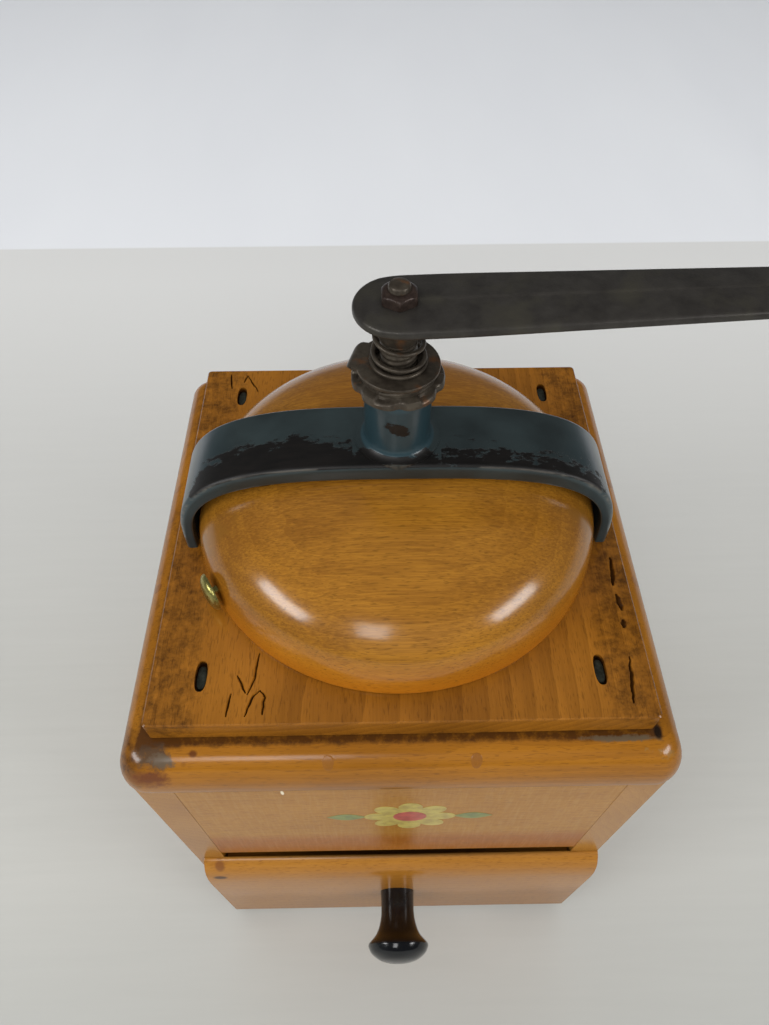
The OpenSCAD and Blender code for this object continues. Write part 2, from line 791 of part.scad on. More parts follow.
// Rivet through the arm, with a peened head under the arm and a flat head on the grip
module grip_pin() {
    head_r = pin_d / 2 + 1.4;
    color("silver") at_grip() {
        translate([0, 0, z_arm - 1.2]) cylinder(r1 = pin_d / 2, r2 = head_r, h = 1.2);
        translate([0, 0, z_arm - 1]) cylinder(d = pin_d, h = pin_top - z_arm + 1);
        translate([0, 0, pin_top - 1.2]) cylinder(r1 = head_r, r2 = pin_d / 2, h = 1.2);
    }
}

module grip_washers() {
    color("silver") at_grip() for (z = [z_arm_top, z_grip + grip_h + slide_gap])
        translate([0, 0, z]) difference() {
            cylinder(d = grip_washer_d, h = grip_seat);
            translate([0, 0, -1]) cylinder(r = pin_d / 2 + hole_fit, h = grip_seat + 2);
        }
}

// Turned grip: a narrow foot, a full belly and a rounded head
module grip() {
    foot_r = grip_washer_d / 2 + 1.5;
    color(beech) at_grip() translate([0, 0, z_grip]) rotate_extrude() difference() {
        union() {
            square([foot_r, grip_h * 0.2]);
            polygon([[0, 0], [foot_r, 0], [foot_r, grip_h * 0.12], [grip_d * 0.36, grip_h * 0.3],
                     [grip_d * 0.46, grip_h * 0.5], [grip_d / 2, grip_h * 0.68],
                     [grip_d * 0.49, grip_h * 0.8], [grip_d * 0.4, grip_h * 0.93],
                     [grip_d * 0.28, grip_h], [0, grip_h]]);
        }
        translate([-eps, -1]) square([pin_d / 2 + run_fit + eps, grip_h + 2]);
    }
}

// ---------------------------------------------------------------- drawer

// Front: a lip that covers the bay, rounded along its upper edge, and a tongue in the bay
module drawer_front() {
    top = concat([[y_front, lip_low], [y_front, drawer_top]],
                 [for (i = [1:round_steps]) let (a = 90 * i / round_steps)
                     [y_front - lip_t * sin(a), drawer_top - lip_round + lip_round * cos(a)]],
                 [[y_face, lip_low]]);
    color(beech) difference() {
        union() {
            translate([lip_shift, 0, 0]) rotate([90, 0, 90]) linear_extrude(lip_w, center = true)
                polygon([for (p = top) [p[0], p[1]]]);
            translate([-drawer_w / 2, y_front, side_low]) cube([drawer_w, drawer_t, rack_h]);
        }
        knob_screw_shape(hole_fit);
        drawer_nail_set(hole_fit);
    }
}

module drawer_side(side) {
    length = y_drawer_back - y_front - drawer_t;
    color("#c9a25a") difference() {
        translate([side > 0 ? drawer_w / 2 - drawer_t : -drawer_w / 2, y_front + drawer_t, side_low])
            cube([drawer_t, length, rack_h]);
        drawer_nail_set(hole_fit);
    }
}

module drawer_left_side() {
    drawer_side(-1);
}

module drawer_right_side() {
    drawer_side(1);
}

module drawer_back() {
    color("#c9a25a") difference() {
        translate([-drawer_w / 2 + drawer_t, y_drawer_back - drawer_t, side_low])
            cube([drawer_w - 2 * drawer_t, drawer_t, rack_h]);
        drawer_nail_set(hole_fit);
    }
}

module drawer_bottom() {
    color("#c9a25a") translate([-drawer_w / 2, y_front, drawer_low])
        cube([drawer_w, y_drawer_back - y_front, floor_t]);
}

// Nails through the sides into the back, two at each side
module drawer_nail_set(grow = 0) {
    for (s = [-1, 1], z = [0.25, 0.75])
        translate([s * drawer_w / 2, y_drawer_back - drawer_t / 2, side_low + rack_h * z])
            rotate([0, s * 90, 0]) {
                translate([0, 0, -3 * drawer_t]) cylinder(r = drawer_nail_d / 2 + grow, h = 3 * drawer_t);
                translate([0, 0, -drawer_nail_d / 2])
                    cylinder(r = drawer_nail_d + grow, h = drawer_nail_d / 2 + (grow > 0 ? eps : 0));
            }
}

module drawer_nails() {
    color("gray") drawer_nail_set();
}

// Knob: a straight neck that flares to a sharp rim, with a domed end
module drawer_knob() {
    neck_l = knob_l * 0.32;
    rim_l = knob_l * 0.74;
    color("#15171a") translate([0, y_face, knob_z]) rotate([90, 0, 0]) difference() {
        rotate_extrude() polygon(concat(
            [[0, 0], [neck_d / 2, 0], [neck_d / 2, neck_l]],
            [for (i = [1:6]) let (t = i / 6)
                [neck_d / 2 + (knob_d - neck_d) / 2 * pow(t, 2), neck_l + (rim_l - neck_l) * t]],
            [for (i = [1:6]) let (a = 90 * i / 6)
                [knob_d / 2 * cos(a), rim_l + (knob_l - rim_l) * sin(a)]]));
        translate([0, 0, -1]) cylinder(r = knob_screw_d / 2 + hole_fit, h = knob_l * 0.6 + 1);
    }
}

module knob_screw_shape(grow = 0) {
    head_h = 1.6;
    translate([0, y_front + drawer_t, knob_z]) rotate([90, 0, 0]) {
        cylinder(r = knob_screw_d / 2 + grow, h = drawer_t + lip_t + knob_l * 0.55);
        if (grow == 0) translate([0, 0, -head_h]) cylinder(r = knob_screw_d, h = head_h);
    }
}

module knob_screw() {
    color("silver") knob_screw_shape();
}

base_board();
left_wall();
right_wall();
front_panel();
back_wall();
base_nails();
top_plate();
plate_nails();
top_board();
board_nails();
hopper_funnel();
dome();
dome_tack();
strap();
strap_washers();
burr_housing();
housing_screws();
outer_burr();
inner_burr();
burr_pin();
lower_bridge();
bridge_screws();
drive_shaft();
adjusting_nut();
locking_plate();
crank_spring();
crank_arm();
crank_nut();
grip();
grip_pin();
grip_washers();
drawer_front();
drawer_left_side();
drawer_right_side();
drawer_back();
drawer_bottom();
drawer_nails();
drawer_knob();
knob_screw();
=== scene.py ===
# %% [markdown]
# # Hand crank coffee grinder
# A box mill of varnished beech: a moulded plate and a square board on a box with a drawer, a turned
# dome over the hopper, an enamelled iron strap across the dome, and a crank on top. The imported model
# gives the place and size of every part. These cells make the surfaces and finishes that the eye sees.

# %% Load the frame
import math

import bmesh
import bpy
import numpy as np
from mathutils import Matrix, Vector


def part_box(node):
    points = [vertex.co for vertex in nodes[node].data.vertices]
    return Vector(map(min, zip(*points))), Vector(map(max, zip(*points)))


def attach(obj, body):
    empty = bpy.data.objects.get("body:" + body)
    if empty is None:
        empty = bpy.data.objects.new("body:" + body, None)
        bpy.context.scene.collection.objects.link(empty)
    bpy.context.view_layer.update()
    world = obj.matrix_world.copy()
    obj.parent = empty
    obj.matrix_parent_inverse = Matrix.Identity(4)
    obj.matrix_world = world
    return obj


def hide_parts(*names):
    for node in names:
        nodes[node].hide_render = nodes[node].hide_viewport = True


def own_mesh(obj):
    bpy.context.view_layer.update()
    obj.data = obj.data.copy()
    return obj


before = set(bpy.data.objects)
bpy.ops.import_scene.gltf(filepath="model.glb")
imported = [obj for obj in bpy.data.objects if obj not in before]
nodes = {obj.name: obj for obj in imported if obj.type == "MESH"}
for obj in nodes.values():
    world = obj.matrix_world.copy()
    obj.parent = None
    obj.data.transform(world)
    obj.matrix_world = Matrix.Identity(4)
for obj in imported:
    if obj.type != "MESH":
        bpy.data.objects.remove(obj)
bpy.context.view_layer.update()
MM = 0.001


def new_object(name, data):
    """New object with that data, linked to the scene."""
    made = bpy.data.objects.new(name, data)
    bpy.context.scene.collection.objects.link(made)
    return made


# %% [markdown]
# The camera stands just in front of the box, above the crank's height, and looks down at 53 degrees.
# A lens is given by its focal length in pixels, which is turned into Blender's millimetres on a
# 36 mm sensor. The turn is built from three directions instead of angles, so that its order is clear.

# %% Camera
FRAME_HEIGHT = 1025
FOCAL_PIXELS = 725.7
SENSOR_MM = 36
NEAR_CLIP = 0.01
CAMERA_PLACE = Vector((-4.02, -104.74, 285.27)) * MM
LOOK_DOWN, TURN_RIGHT, ROLL = 0.92235, 0.01248, -0.00374


def look_matrix(down, turn, roll):
    """Rotation of a camera that looks along +Y, turned towards +X, tipped down and rolled."""
    ahead = Vector((math.sin(turn) * math.cos(down), math.cos(turn) * math.cos(down), -math.sin(down)))
    right = Vector((math.cos(turn), -math.sin(turn), 0))
    above = right.cross(ahead)
    side = right * math.cos(roll) + above * math.sin(roll)
    top = above * math.cos(roll) - right * math.sin(roll)
    return Matrix((side, top, -ahead)).transposed()


camera = new_object("camera", bpy.data.cameras.new("camera"))
camera.data.sensor_width = SENSOR_MM
camera.data.lens = FOCAL_PIXELS * SENSOR_MM / FRAME_HEIGHT
camera.data.clip_start = NEAR_CLIP
camera.matrix_world = Matrix.Translation(CAMERA_PLACE) @ look_matrix(LOOK_DOWN, TURN_RIGHT, ROLL).to_4x4()
bpy.context.scene.camera = camera
bpy.context.scene.view_settings.view_transform = "Standard"
print("lens in mm:", round(camera.data.lens, 2))

# %% [markdown]
# Two soft boxes stand low at the left and right in front of the mill. Their mirror images are the
# paired highlights on the varnished dome, and a far window gives a faint third one in front. A wide
# ceiling light and a fill from the front give soft, pale shadows. Those two aren't mirrored, so that
# the varnish stays clear. Together the lamps light a surface at about the level at which its colour
# was written.

# %% Light
LAMP_AIM = Vector((0, 0, 0.15))
# Name, direction from the mill, distance, width, height, watts, and whether gloss mirrors the lamp
LAMPS = [
    ("left_soft_box", (-0.78, -0.42, 0.47), 1.2, 0.55, 0.24, 4.8, True),
    ("right_soft_box", (0.79, -0.45, 0.41), 1.2, 0.5, 0.24, 4.0, True),
    ("far_window", (-0.18, -0.76, 0.61), 1.2, 0.28, 0.34, 1.8, True),
    ("ceiling_light", (-0.1, 0.22, 1.0), 1.6, 2.6, 2.6, 24.0, False),
    ("front_fill", (0.0, -1.0, 0.55), 1.6, 2.0, 1.2, 15.0, False),
]


def colour(hex_value):
    """sRGB hex such as "B07A2E" as linear RGBA."""
    part = np.array([int(hex_value[i:i + 2], 16) for i in (0, 2, 4)]) / 255
    linear = np.where(part <= 0.04045, part / 12.92, ((part + 0.055) / 1.055) ** 2.4)
    return (*linear.tolist(), 1.0)


for name, direction, distance, width, height, watts, mirrored in LAMPS:
    lamp = new_object(name, bpy.data.lights.new(name, "AREA"))
    lamp.data.shape = "RECTANGLE"
    lamp.data.size = width
    lamp.data.size_y = height
    lamp.data.energy = watts
    away = Vector(direction).normalized()
    lamp.location = LAMP_AIM + away * distance
    lamp.rotation_euler = away.to_track_quat("Z", "Y").to_euler()
    lamp.visible_glossy = mirrored
world = bpy.data.worlds.new("pale_room")
bpy.context.scene.world = world
world.use_nodes = True
world.node_tree.nodes["Background"].inputs["Color"].default_value = colour("E4E7EA")
world.node_tree.nodes["Background"].inputs["Strength"].default_value = 0.12
print("lamps:", len(LAMPS))

# %% [markdown]
# Every new shape is a grid of points: one direction runs along a profile or a path, the other runs
# round it. The next helpers turn such a grid into a closed mesh. Rows that shrink to one point are
# merged, so poles are closed, and the faces are then turned outwards. Grids are drawn in
# millimetres, and surface turns them into metres.

# %% From a grid of points to a closed piece
def surface(name, grid, wrap_rows=False, sharp=40):
    """Mesh through grid[row, column]: columns always close on themselves, rows only if wrap_rows.
    Open first and last rows are capped. Edges sharper than sharp degrees stay crisp."""
    grid = np.asarray(grid, float)
    index = np.arange(grid[..., 0].size).reshape(grid.shape[:2])
    index = np.concatenate([index, index[:, :1]], 1)
    ends = [index[0, :-1][::-1].tolist(), index[-1, :-1].tolist()]
    if wrap_rows:
        index = np.concatenate([index, index[:1]], 0)
        ends = []
    quads = np.stack([index[:-1, :-1], index[:-1, 1:], index[1:, 1:], index[1:, :-1]], -1).reshape(-1, 4)
    mesh = bpy.data.meshes.new(name)
    mesh.from_pydata((grid * MM).reshape(-1, 3).tolist(), [], quads.tolist() + ends)
    return clean(new_object(name, mesh), sharp)


def clean(piece, sharp=40):
    """Merges doubles, drops flat slivers, turns the faces outwards and shades them smooth."""
    edit = bmesh.new()
    edit.from_mesh(piece.data)
    bmesh.ops.remove_doubles(edit, verts=edit.verts, dist=0.002 * MM)
    bmesh.ops.dissolve_degenerate(edit, edges=edit.edges, dist=0.001 * MM)
    bmesh.ops.recalc_face_normals(edit, faces=edit.faces)
    edit.to_mesh(piece.data)
    edit.free()
    piece.data.polygons.foreach_set("use_smooth", [True] * len(piece.data.polygons))
    piece.data.set_sharp_from_angle(angle=math.radians(sharp))
    return piece
def join_pieces(name, parts):
    """Several closed pieces as one object."""
    edit = bmesh.new()
    for part in parts:
        edit.from_mesh(part.data)
        bpy.data.objects.remove(part)
    mesh = bpy.data.meshes.new(name)
    edit.to_mesh(mesh)
    edit.free()
    return clean(new_object(name, mesh))


def join_shapes(piece, tool, operation, sharp=40):
    """Exact Boolean of piece and tool. The tool is used up."""
    modifier = piece.modifiers.new(operation.lower(), "BOOLEAN")
    modifier.object = tool
    modifier.operation = operation
    modifier.solver = "EXACT"
    held = bpy.context.evaluated_depsgraph_get()
    held.update()
    mesh = bpy.data.meshes.new_from_object(piece.evaluated_get(held))
    piece.modifiers.clear()
    piece.data = mesh
    bpy.data.objects.remove(tool)
    return clean(piece, sharp)


# %% [markdown]
# The next helpers draw lines, loops and rings of points, which the grids are made of.

# %% Lines, loops and rings
OVAL_FULL = 2.6


def full_turn(count):
    """Angles of count equal steps round a circle."""
    return np.linspace(0, 2 * np.pi, count, endpoint=False)


def circle(count):
    """Points of a circle with radius 1."""
    return np.column_stack([np.cos(full_turn(count)), np.sin(full_turn(count))])


def ring(radius, height, angle):
    """Points at a radius, a height and an angle round the upright axis; each may be an array."""
    return np.stack(np.broadcast_arrays(radius * np.cos(angle), radius * np.sin(angle), height), -1)


def swung(profile, angle):
    """Each (radius, height) of a profile, swung round the axis."""
    profile = np.asarray(profile, float)
    return ring(profile[:, :1], profile[:, 1:], angle)


def raised(loop, height):
    """Flat loop in (x, y), lifted to a height."""
    return np.column_stack([loop, np.broadcast_to(height, len(loop))])


def rows_between(first, last, shares, height):
    """Flat loops that pass from the first to the last, one for each share of the way."""
    heights = np.broadcast_to(height, len(shares))
    return [raised(first * (1 - s) + last * s, h) for s, h in zip(shares, heights)]


def unit(vectors):
    """The same directions, with length 1."""
    return vectors / np.linalg.norm(vectors, axis=-1, keepdims=True)


def turned(points, angle):
    """Points swung by an angle round the upright axis."""
    return np.asarray(points) @ np.array(Matrix.Rotation(angle, 3, "Z")).T


def eased(points, radii, steps=5):
    """Closed outline with each corner replaced by a short curve that starts a radius before the
    corner and ends a radius after it: a quadratic curve with the corner as its control point."""
    corner = np.asarray(points, float)
    reach = np.broadcast_to(np.asarray(radii, float), len(corner))[:, None]
    before = np.roll(corner, 1, 0) - corner
    after = np.roll(corner, -1, 0) - corner
    half_before = np.linalg.norm(before, axis=1, keepdims=True) / 2
    half_after = np.linalg.norm(after, axis=1, keepdims=True) / 2
    start = corner + before / half_before / 2 * np.minimum(reach, half_before)
    end = corner + after / half_after / 2 * np.minimum(reach, half_after)
    s = np.linspace(0, 1, steps)[None, :, None]
    curve = (1 - s) ** 2 * start[:, None] + 2 * s * (1 - s) * corner[:, None] + s ** 2 * end[:, None]
    return curve.reshape(-1, 2)


def respaced(points, count):
    """The same open line with count points at equal distances along it."""
    points = np.asarray(points, float)
    along = np.concatenate([[0], np.cumsum(np.linalg.norm(np.diff(points, axis=0), axis=1))])
    wanted = np.linspace(0, along[-1], count)
    return np.stack([np.interp(wanted, along, points[:, k]) for k in range(points.shape[1])], -1)


def averaged(values, count):
    """Each value as the mean of count neighbours; both ends are carried on first."""
    return np.convolve(np.pad(values, count // 2, "edge"), np.ones(count) / count, "valid")


def smooth_line(points, count):
    """Catmull-Rom curve through the points, with count steps in each span, as one matrix product."""
    p = np.asarray(points, float)
    padded = np.concatenate([2 * p[:1] - p[1:2], p, 2 * p[-1:] - p[-2:-1]])
    s = np.linspace(0, 1, count, endpoint=False)
    weights = 0.5 * np.stack([-s + 2 * s ** 2 - s ** 3, 2 - 5 * s ** 2 + 3 * s ** 3,
                              s + 4 * s ** 2 - 3 * s ** 3, -s ** 2 + s ** 3], -1)
    spans = np.stack([padded[:-3], padded[1:-2], padded[2:-1], padded[3:]], 1)
    return np.concatenate([np.einsum("sk,nkc->nsc", weights, spans).reshape(-1, p.shape[1]), p[-1:]])


def lathe(name, profile, centre=(0, 0, 0), count=96, hollow=False, turn=Matrix.Identity(3), sharp=40):
    """Turned piece: each (radius, height) of the profile swings round the axis. A hollow profile is
    a closed loop. turn is a rotation of the axis away from +Z."""
    grid = swung(profile, full_turn(count)) @ np.array(turn).T + centre
    return surface(name, grid, wrap_rows=hollow, sharp=sharp)


def arch(radius, height, fullness, count):
    """Quarter of a superellipse from (radius, 0) to (0, height), evenly spaced: the radius and the
    height times the cosine and sine to the power 2 / fullness."""
    a = np.linspace(0, np.pi / 2, 8 * count)
    line = np.stack([radius * np.abs(np.cos(a)) ** (2 / fullness),
                     height * np.abs(np.sin(a)) ** (2 / fullness)], -1)
    line[-1, 0] = 0
    return respaced(line, count)


def edge_loop(half_x, half_y, corner, per_side=24, per_corner=10):
    """Rounded rectangle round the origin: four arcs whose last point goes straight to the next
    arc's first, with per_side points between them. Every loop has the same number of points."""
    quarter = np.linspace(0, np.pi / 2, per_corner)
    starts = np.arange(4) * np.pi / 2
    middle = np.array([[1, 1], [-1, 1], [-1, -1], [1, -1]]) * [half_x - corner, half_y - corner]
    angle = starts[:, None] + quarter
    arcs = middle[:, None] + corner * np.stack([np.cos(angle), np.sin(angle)], -1)
    s = np.linspace(0, 1, per_side + 2)[1:-1][None, :, None]
    sides = arcs[:, -1:] * (1 - s) + np.roll(arcs, -1, 0)[:, :1] * s
    return np.concatenate([arcs, sides], 1).reshape(-1, 2)


def flat_loop(length, width, count=40):
    """Oval outline in a plane, long along Y: a superellipse of power OVAL_FULL."""
    c, s = circle(count).T
    return np.column_stack([width / 2 * np.sign(c) * np.abs(c) ** (2 / OVAL_FULL),
                            length / 2 * np.sign(s) * np.abs(s) ** (2 / OVAL_FULL)])


def prism(name, outline, low, high):
    """Straight-walled solid over an outline."""
    return surface(name, [raised(outline, low), raised(outline, high)], sharp=30)


# %% [markdown]
# Masks of numbers on a piece's corners say where dirt and wear lie. A finished piece gets its
# A finished piece gets its material and rides on its body in place of the imported nodes.

# %% Masks, finishes and places
def points_of(piece):
    """All corners of a piece, as arrays of x, y and z in mm."""
    co = np.empty(len(piece.data.vertices) * 3)
    piece.data.vertices.foreach_get("co", co)
    return co.reshape(-1, 3).T / MM


def paint(piece, name, values):
    """Stores one number per corner, which a material reads by its name."""
    layer = piece.data.attributes.new(name, "FLOAT", "POINT")
    layer.data.foreach_set("value", np.clip(values, 0, 1).astype(np.float32))


def ramp(values, low, high):
    """0 below low, 1 above high, smooth between."""
    t = np.clip((np.asarray(values, float) - low) / (high - low), 0, 1)
    return t * t * (3 - 2 * t)


def bell(values, width):
    """1 at 0, falling off on both sides as a Gauss curve does."""
    return np.exp(-((values / width) ** 2))


def finish(piece, material, slot, body, *replaced):
    """Gives the piece its material and lets it ride on its body in place of the nodes. slot is not used."""
    piece.data.materials.clear()
    piece.data.materials.append(material)
    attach(piece, body)
    if replaced:
        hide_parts(*replaced)
    print(piece.name, len(piece.data.polygons), "faces")


def span(node):
    """Lowest and highest corner of a node, as arrays in mm."""
    low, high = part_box(node)
    return np.array(low) / MM, np.array(high) / MM

# %% [markdown]
# A material is a small graph of nodes. One helper adds a node, sets its properties and its inputs,
# and links an input when it is given another node's output.

# %% Adding nodes
def start_material(name):
    """New material with its Principled node, as (material, tree, shader)."""
    material = bpy.data.materials.new(name)
    material.use_nodes = True
    return material, material.node_tree, material.node_tree.nodes["Principled BSDF"]


def fill(tree, node, inputs):
    """Sets a node's inputs: each is a value, a colour in hex or another node's output."""
    for key, value in inputs.items():
        if isinstance(value, bpy.types.NodeSocket):
            tree.links.new(value, node.inputs[key])
        else:
            node.inputs[key].default_value = colour(value) if isinstance(value, str) else value


def add(tree, kind, inputs=(), **settings):
    """One new node of that kind, with its settings and its inputs."""
    made = tree.nodes.new("ShaderNode" + kind)
    for key, value in settings.items():
        setattr(made, key, value)
    fill(tree, made, dict(inputs))
    return made


def set_shader(tree, shader, **values):
    """Sets the shader's sockets by name, with underscores for spaces."""
    fill(tree, shader, {key.replace("_", " "): value for key, value in values.items()})


def blend_colour(tree, factor, first, second):
    """Mix of two colours by a factor."""
    return add(tree, "Mix", {"Factor": factor, 6: first, 7: second}, data_type="RGBA").outputs[2]


def step_between(tree, value, low, high, first=0.0, last=1.0):
    """Map Range from low..high to first..last, clamped, as its output."""
    return add(tree, "MapRange", {"Value": value, "From Min": low, "From Max": high,
                                  "To Min": first, "To Max": last}).outputs["Result"]


def calc(tree, operation, *values, clamp=False):
    """Math node on the values, kept within 0..1 if clamp."""
    return add(tree, "Math", dict(enumerate(values)), operation=operation, use_clamp=clamp).outputs[0]


def place_of(tree, scale=(1, 1, 1), turn=(0, 0, 0), shift=(0, 0, 0)):
    """Object coordinates, shifted, turned and scaled, as a vector output."""
    where = add(tree, "TexCoord").outputs["Object"]
    return add(tree, "Mapping", {"Vector": where, "Location": shift, "Rotation": turn,
                                 "Scale": scale}).outputs["Vector"]


def coordinate(tree, axis):
    """One of the object coordinates: X, Y or Z."""
    return add(tree, "SeparateXYZ", {0: place_of(tree)}).outputs[axis]


def noise(tree, cycles, detail, rough=0.5, **where):
    """Noise with that many cycles per metre, at a place that may be moved, turned and scaled."""
    return add(tree, "TexNoise", {"Vector": place_of(tree, **where), "Scale": cycles, "Detail": detail,
                                  "Roughness": rough}).outputs["Fac"]


def grain_noise(tree, stretch, detail=4.0, rough=0.6, **where):
    """Noise stretched along the axes, each with its own number of cycles per metre."""
    return noise(tree, 1.0, detail, rough, scale=stretch, **where)


def bump(tree, height, strength, deep, invert=False, **under):
    """Bump of a depth in mm. Normal is the output of a bump that lies under it."""
    return add(tree, "Bump", {"Height": height, "Strength": strength, "Distance": deep * MM, **under},
               invert=invert).outputs[0]


def painted(tree, name):
    """The numbers that paint stored under that name."""
    return add(tree, "Attribute", attribute_name=name).outputs["Fac"]


# %% [markdown]
# Beech is pale pinkish brown with faint rings, straight fibres and thousands of short dark flecks,
# the wood's rays, one to three millimetres long. Here it lies under an old amber varnish. The rings
# are a solid pattern: cylinders round a pith line beside the board, so a flat board shows stripes and
# a turned dome shows long ovals, as in real wood. A mask darkens the wood: grime on most pieces,
# and also painted shade in the square board's slots.

# %% Varnished beech
FLECK_LONG = 2.0 * MM
FLECK_WIDE = 0.22 * MM
RING_WIDE = 2.6 * MM
RING_WAVE = 0.314
RING_SWAY = 6 * MM
# Turn of the pith line away from the grain's axis, for grain along X, Y and Z
PITH_TILT = [(0, 0.02, 0.015), (0.02, 0, 0.015), (0.015, 0.02, 0)]


def along(axis, along_value, across_value):
    """Three numbers with along_value on the grain's axis and across_value on the others."""
    return tuple(along_value if k == axis else across_value for k in range(3))


def marked(tree, wood, edge_noise, centre, radii, tint, rough):
    """The wood with one mark on it: an ellipsoid, in mm, whose edge the noise makes ragged. Marks are
    stains, scuffs and dents, and a few are painted shadow in a gap.
    """
    shift = tuple(-c / r for c, r in zip(centre, radii))
    near = place_of(tree, scale=tuple(1 / (r * MM) for r in radii), shift=shift)
    reach = add(tree, "VectorMath", {0: near}, operation="LENGTH").outputs["Value"]
    edge = calc(tree, "MULTIPLY_ADD", edge_noise, 2 * rough, reach)
    return blend_colour(tree, step_between(tree, edge, 0.7 + rough, 1.2 + rough, 0.9, 0.0), wood, tint)


def beech(name, axis, light, dark, fleck, pith, stain_and_shade="8A4A14", gloss=0.1, coat=1.0, rings=0.25,
          flecks=0.55, fibres=0.6, deep=None, marks_and_shade=(), brushed=0.0):
    """Varnished beech with its grain along axis 0, 1 or 2. pith is where the rings' middle lies.
    deep is (low z, high z, hex): a richer colour that fades out between those heights. On the front
    board it is a painted reflection of the drawer's lip.
    brushed is the strength of pale, nearly upright streaks in the varnish."""
    material, tree, shader = start_material(name)
    wander = grain_noise(tree, along(axis, 14, 60), detail=2.0)
    sway = add(tree, "VectorMath", {0: wander, 1: (RING_SWAY,) * 3}, operation="MULTIPLY").outputs[0]
    centre = place_of(tree, turn=PITH_TILT[axis], shift=pith)
    bent = add(tree, "VectorMath", {0: centre, 1: sway}).outputs[0]
    growth = add(tree, "TexWave", {"Vector": bent, "Scale": RING_WAVE / RING_WIDE, "Distortion": 1.2,
                                   "Detail": 2.0, "Detail Scale": 0.6},
                 wave_type="RINGS", rings_direction="XYZ"[axis], wave_profile="SAW").outputs["Fac"]
    fibre = grain_noise(tree, along(axis, 70, 2600), detail=3.0)
    cloud = grain_noise(tree, along(axis, 16, 34), detail=3.0)
    dash = grain_noise(tree, along(axis, 1 / FLECK_LONG, 1 / FLECK_WIDE), detail=1.0, rough=0.3)
    tone = calc(tree, "ADD", calc(tree, "MULTIPLY", growth, rings, clamp=True),
                calc(tree, "MULTIPLY", fibre, fibres, clamp=True), clamp=True)
    tone = calc(tree, "ADD", tone, step_between(tree, cloud, 0.35, 0.7, -0.2, 0.42), clamp=True)
    wood = blend_colour(tree, tone, light, dark)
    if deep:
        fade = step_between(tree, coordinate(tree, "Z"), deep[0], deep[1], 0.75, 0.0)
        wood = blend_colour(tree, fade, wood, deep[2])
    spots = step_between(tree, dash, 0.6, 0.7, 0.0, flecks)
    wood = blend_colour(tree, spots, wood, fleck)
    ragged = noise(tree, 420.0, 6.0, 0.7)
    # The mask darkens the wood towards the stain colour: dirt, and painted shade in the square board's
    # slots.
    dirt_and_shade = step_between(tree, calc(tree, "ADD", painted(tree, "grime_and_shade"), ragged), 0.85, 1.25, 0.0, 0.93)
    wood = blend_colour(tree, dirt_and_shade, wood, stain_and_shade)
    if brushed:
        streak = grain_noise(tree, (1500, 1500, 110), detail=3.0, turn=(0, 0.35, 0))
        wood = blend_colour(tree, step_between(tree, streak, 0.45, 0.75, 0.0, brushed), wood, "D8B27C")
    for mark in marks_and_shade:
        wood = marked(tree, wood, ragged, *mark)
    relief = calc(tree, "SUBTRACT", fibre, spots)
    set_shader(tree, shader, Base_Color=wood, Roughness=0.45, IOR=1.5, Specular_IOR_Level=0.02,
               Normal=bump(tree, relief, 0.25, 0.03), Coat_Weight=coat, Coat_Roughness=gloss, Coat_IOR=1.5,
               Coat_Normal=bump(tree, noise(tree, 150.0, 3.0), 0.35, 0.12))
    return material


# %% [markdown]
# The metals. The strap and its boss wear blue-black stove enamel, rubbed through to brown-black iron
# along one side, and a pale highlight is painted along the strap's front top edge. The nut, plate,
# shaft and spring have a brown-grey patina, the crank is blackened forged steel, and its nut has a
# film of red rust. The tack is tarnished brass.

# %% Metals, enamel and lacquer
def metal(name, light, dark, rough, spots=None, metallic=0.85, patch=300.0, relief=0.05):
    """Old metal: two tones in blotches, a fine grit in its roughness and shallow pits.
    spots is (hex, low, high): a third colour where a coarse noise passes low..high."""
    material, tree, shader = start_material(name)
    cloud = noise(tree, patch, 6.0, 0.65)
    grit = noise(tree, 2600.0, 3.0)
    tone = blend_colour(tree, step_between(tree, cloud, 0.35, 0.65), light, dark)
    if spots:
        coarse = noise(tree, patch * 0.7, 5.0, shift=(0.3, 0.1, 0.7))
        tone = blend_colour(tree, step_between(tree, coarse, spots[1], spots[2]), tone, spots[0])
    pits = bump(tree, calc(tree, "ADD", cloud, grit), 0.5, relief)
    set_shader(tree, shader, Base_Color=tone, Metallic=metallic, Normal=pits,
               Roughness=step_between(tree, grit, 0.3, 0.7, rough - 0.08, rough + 0.1))
    return material


def stove_enamel(name):
    """Blue-black enamel over iron. The mask named worn, broken up by noise, shows the bare iron. The
    mask named rim paints a pale highlight along the strap's front top edge.
    """
    material, tree, shader = start_material(name)
    streak = grain_noise(tree, (120, 900, 900))
    glaze = blend_colour(tree, step_between(tree, noise(tree, 90.0, 5.0), 0.35, 0.65), "2A3435", "1E2627")
    glaze = blend_colour(tree, painted(tree, "blue"), glaze, "22383F")
    iron = blend_colour(tree, step_between(tree, streak, 0.35, 0.7), "120F0D", "080706")
    ragged = grain_noise(tree, (260, 520, 520), detail=7.0, rough=0.7)
    bare = step_between(tree, calc(tree, "ADD", painted(tree, "worn"), ragged), 0.98, 1.02)
    # Painted highlight: a pale line along the front top edge, where the mask named rim lies.
    rim = calc(tree, "MULTIPLY", painted(tree, "rim"), step_between(tree, streak, 0.4, 0.62), clamp=True)
    tone = blend_colour(tree, rim, blend_colour(tree, bare, glaze, iron), "5C574F")
    chip = bump(tree, bare, 0.6, 0.12, invert=True)
    skin = bump(tree, noise(tree, 700.0, 4.0), 0.3, 0.04, Normal=chip)
    set_shader(tree, shader, Base_Color=tone, Normal=skin, IOR=1.5, Coat_Roughness=0.22,
               Coat_Weight=step_between(tree, bare, 0.0, 1.0, 0.35, 0.05),
               Roughness=step_between(tree, bare, 0.0, 1.0, 0.3, 0.5))
    return material


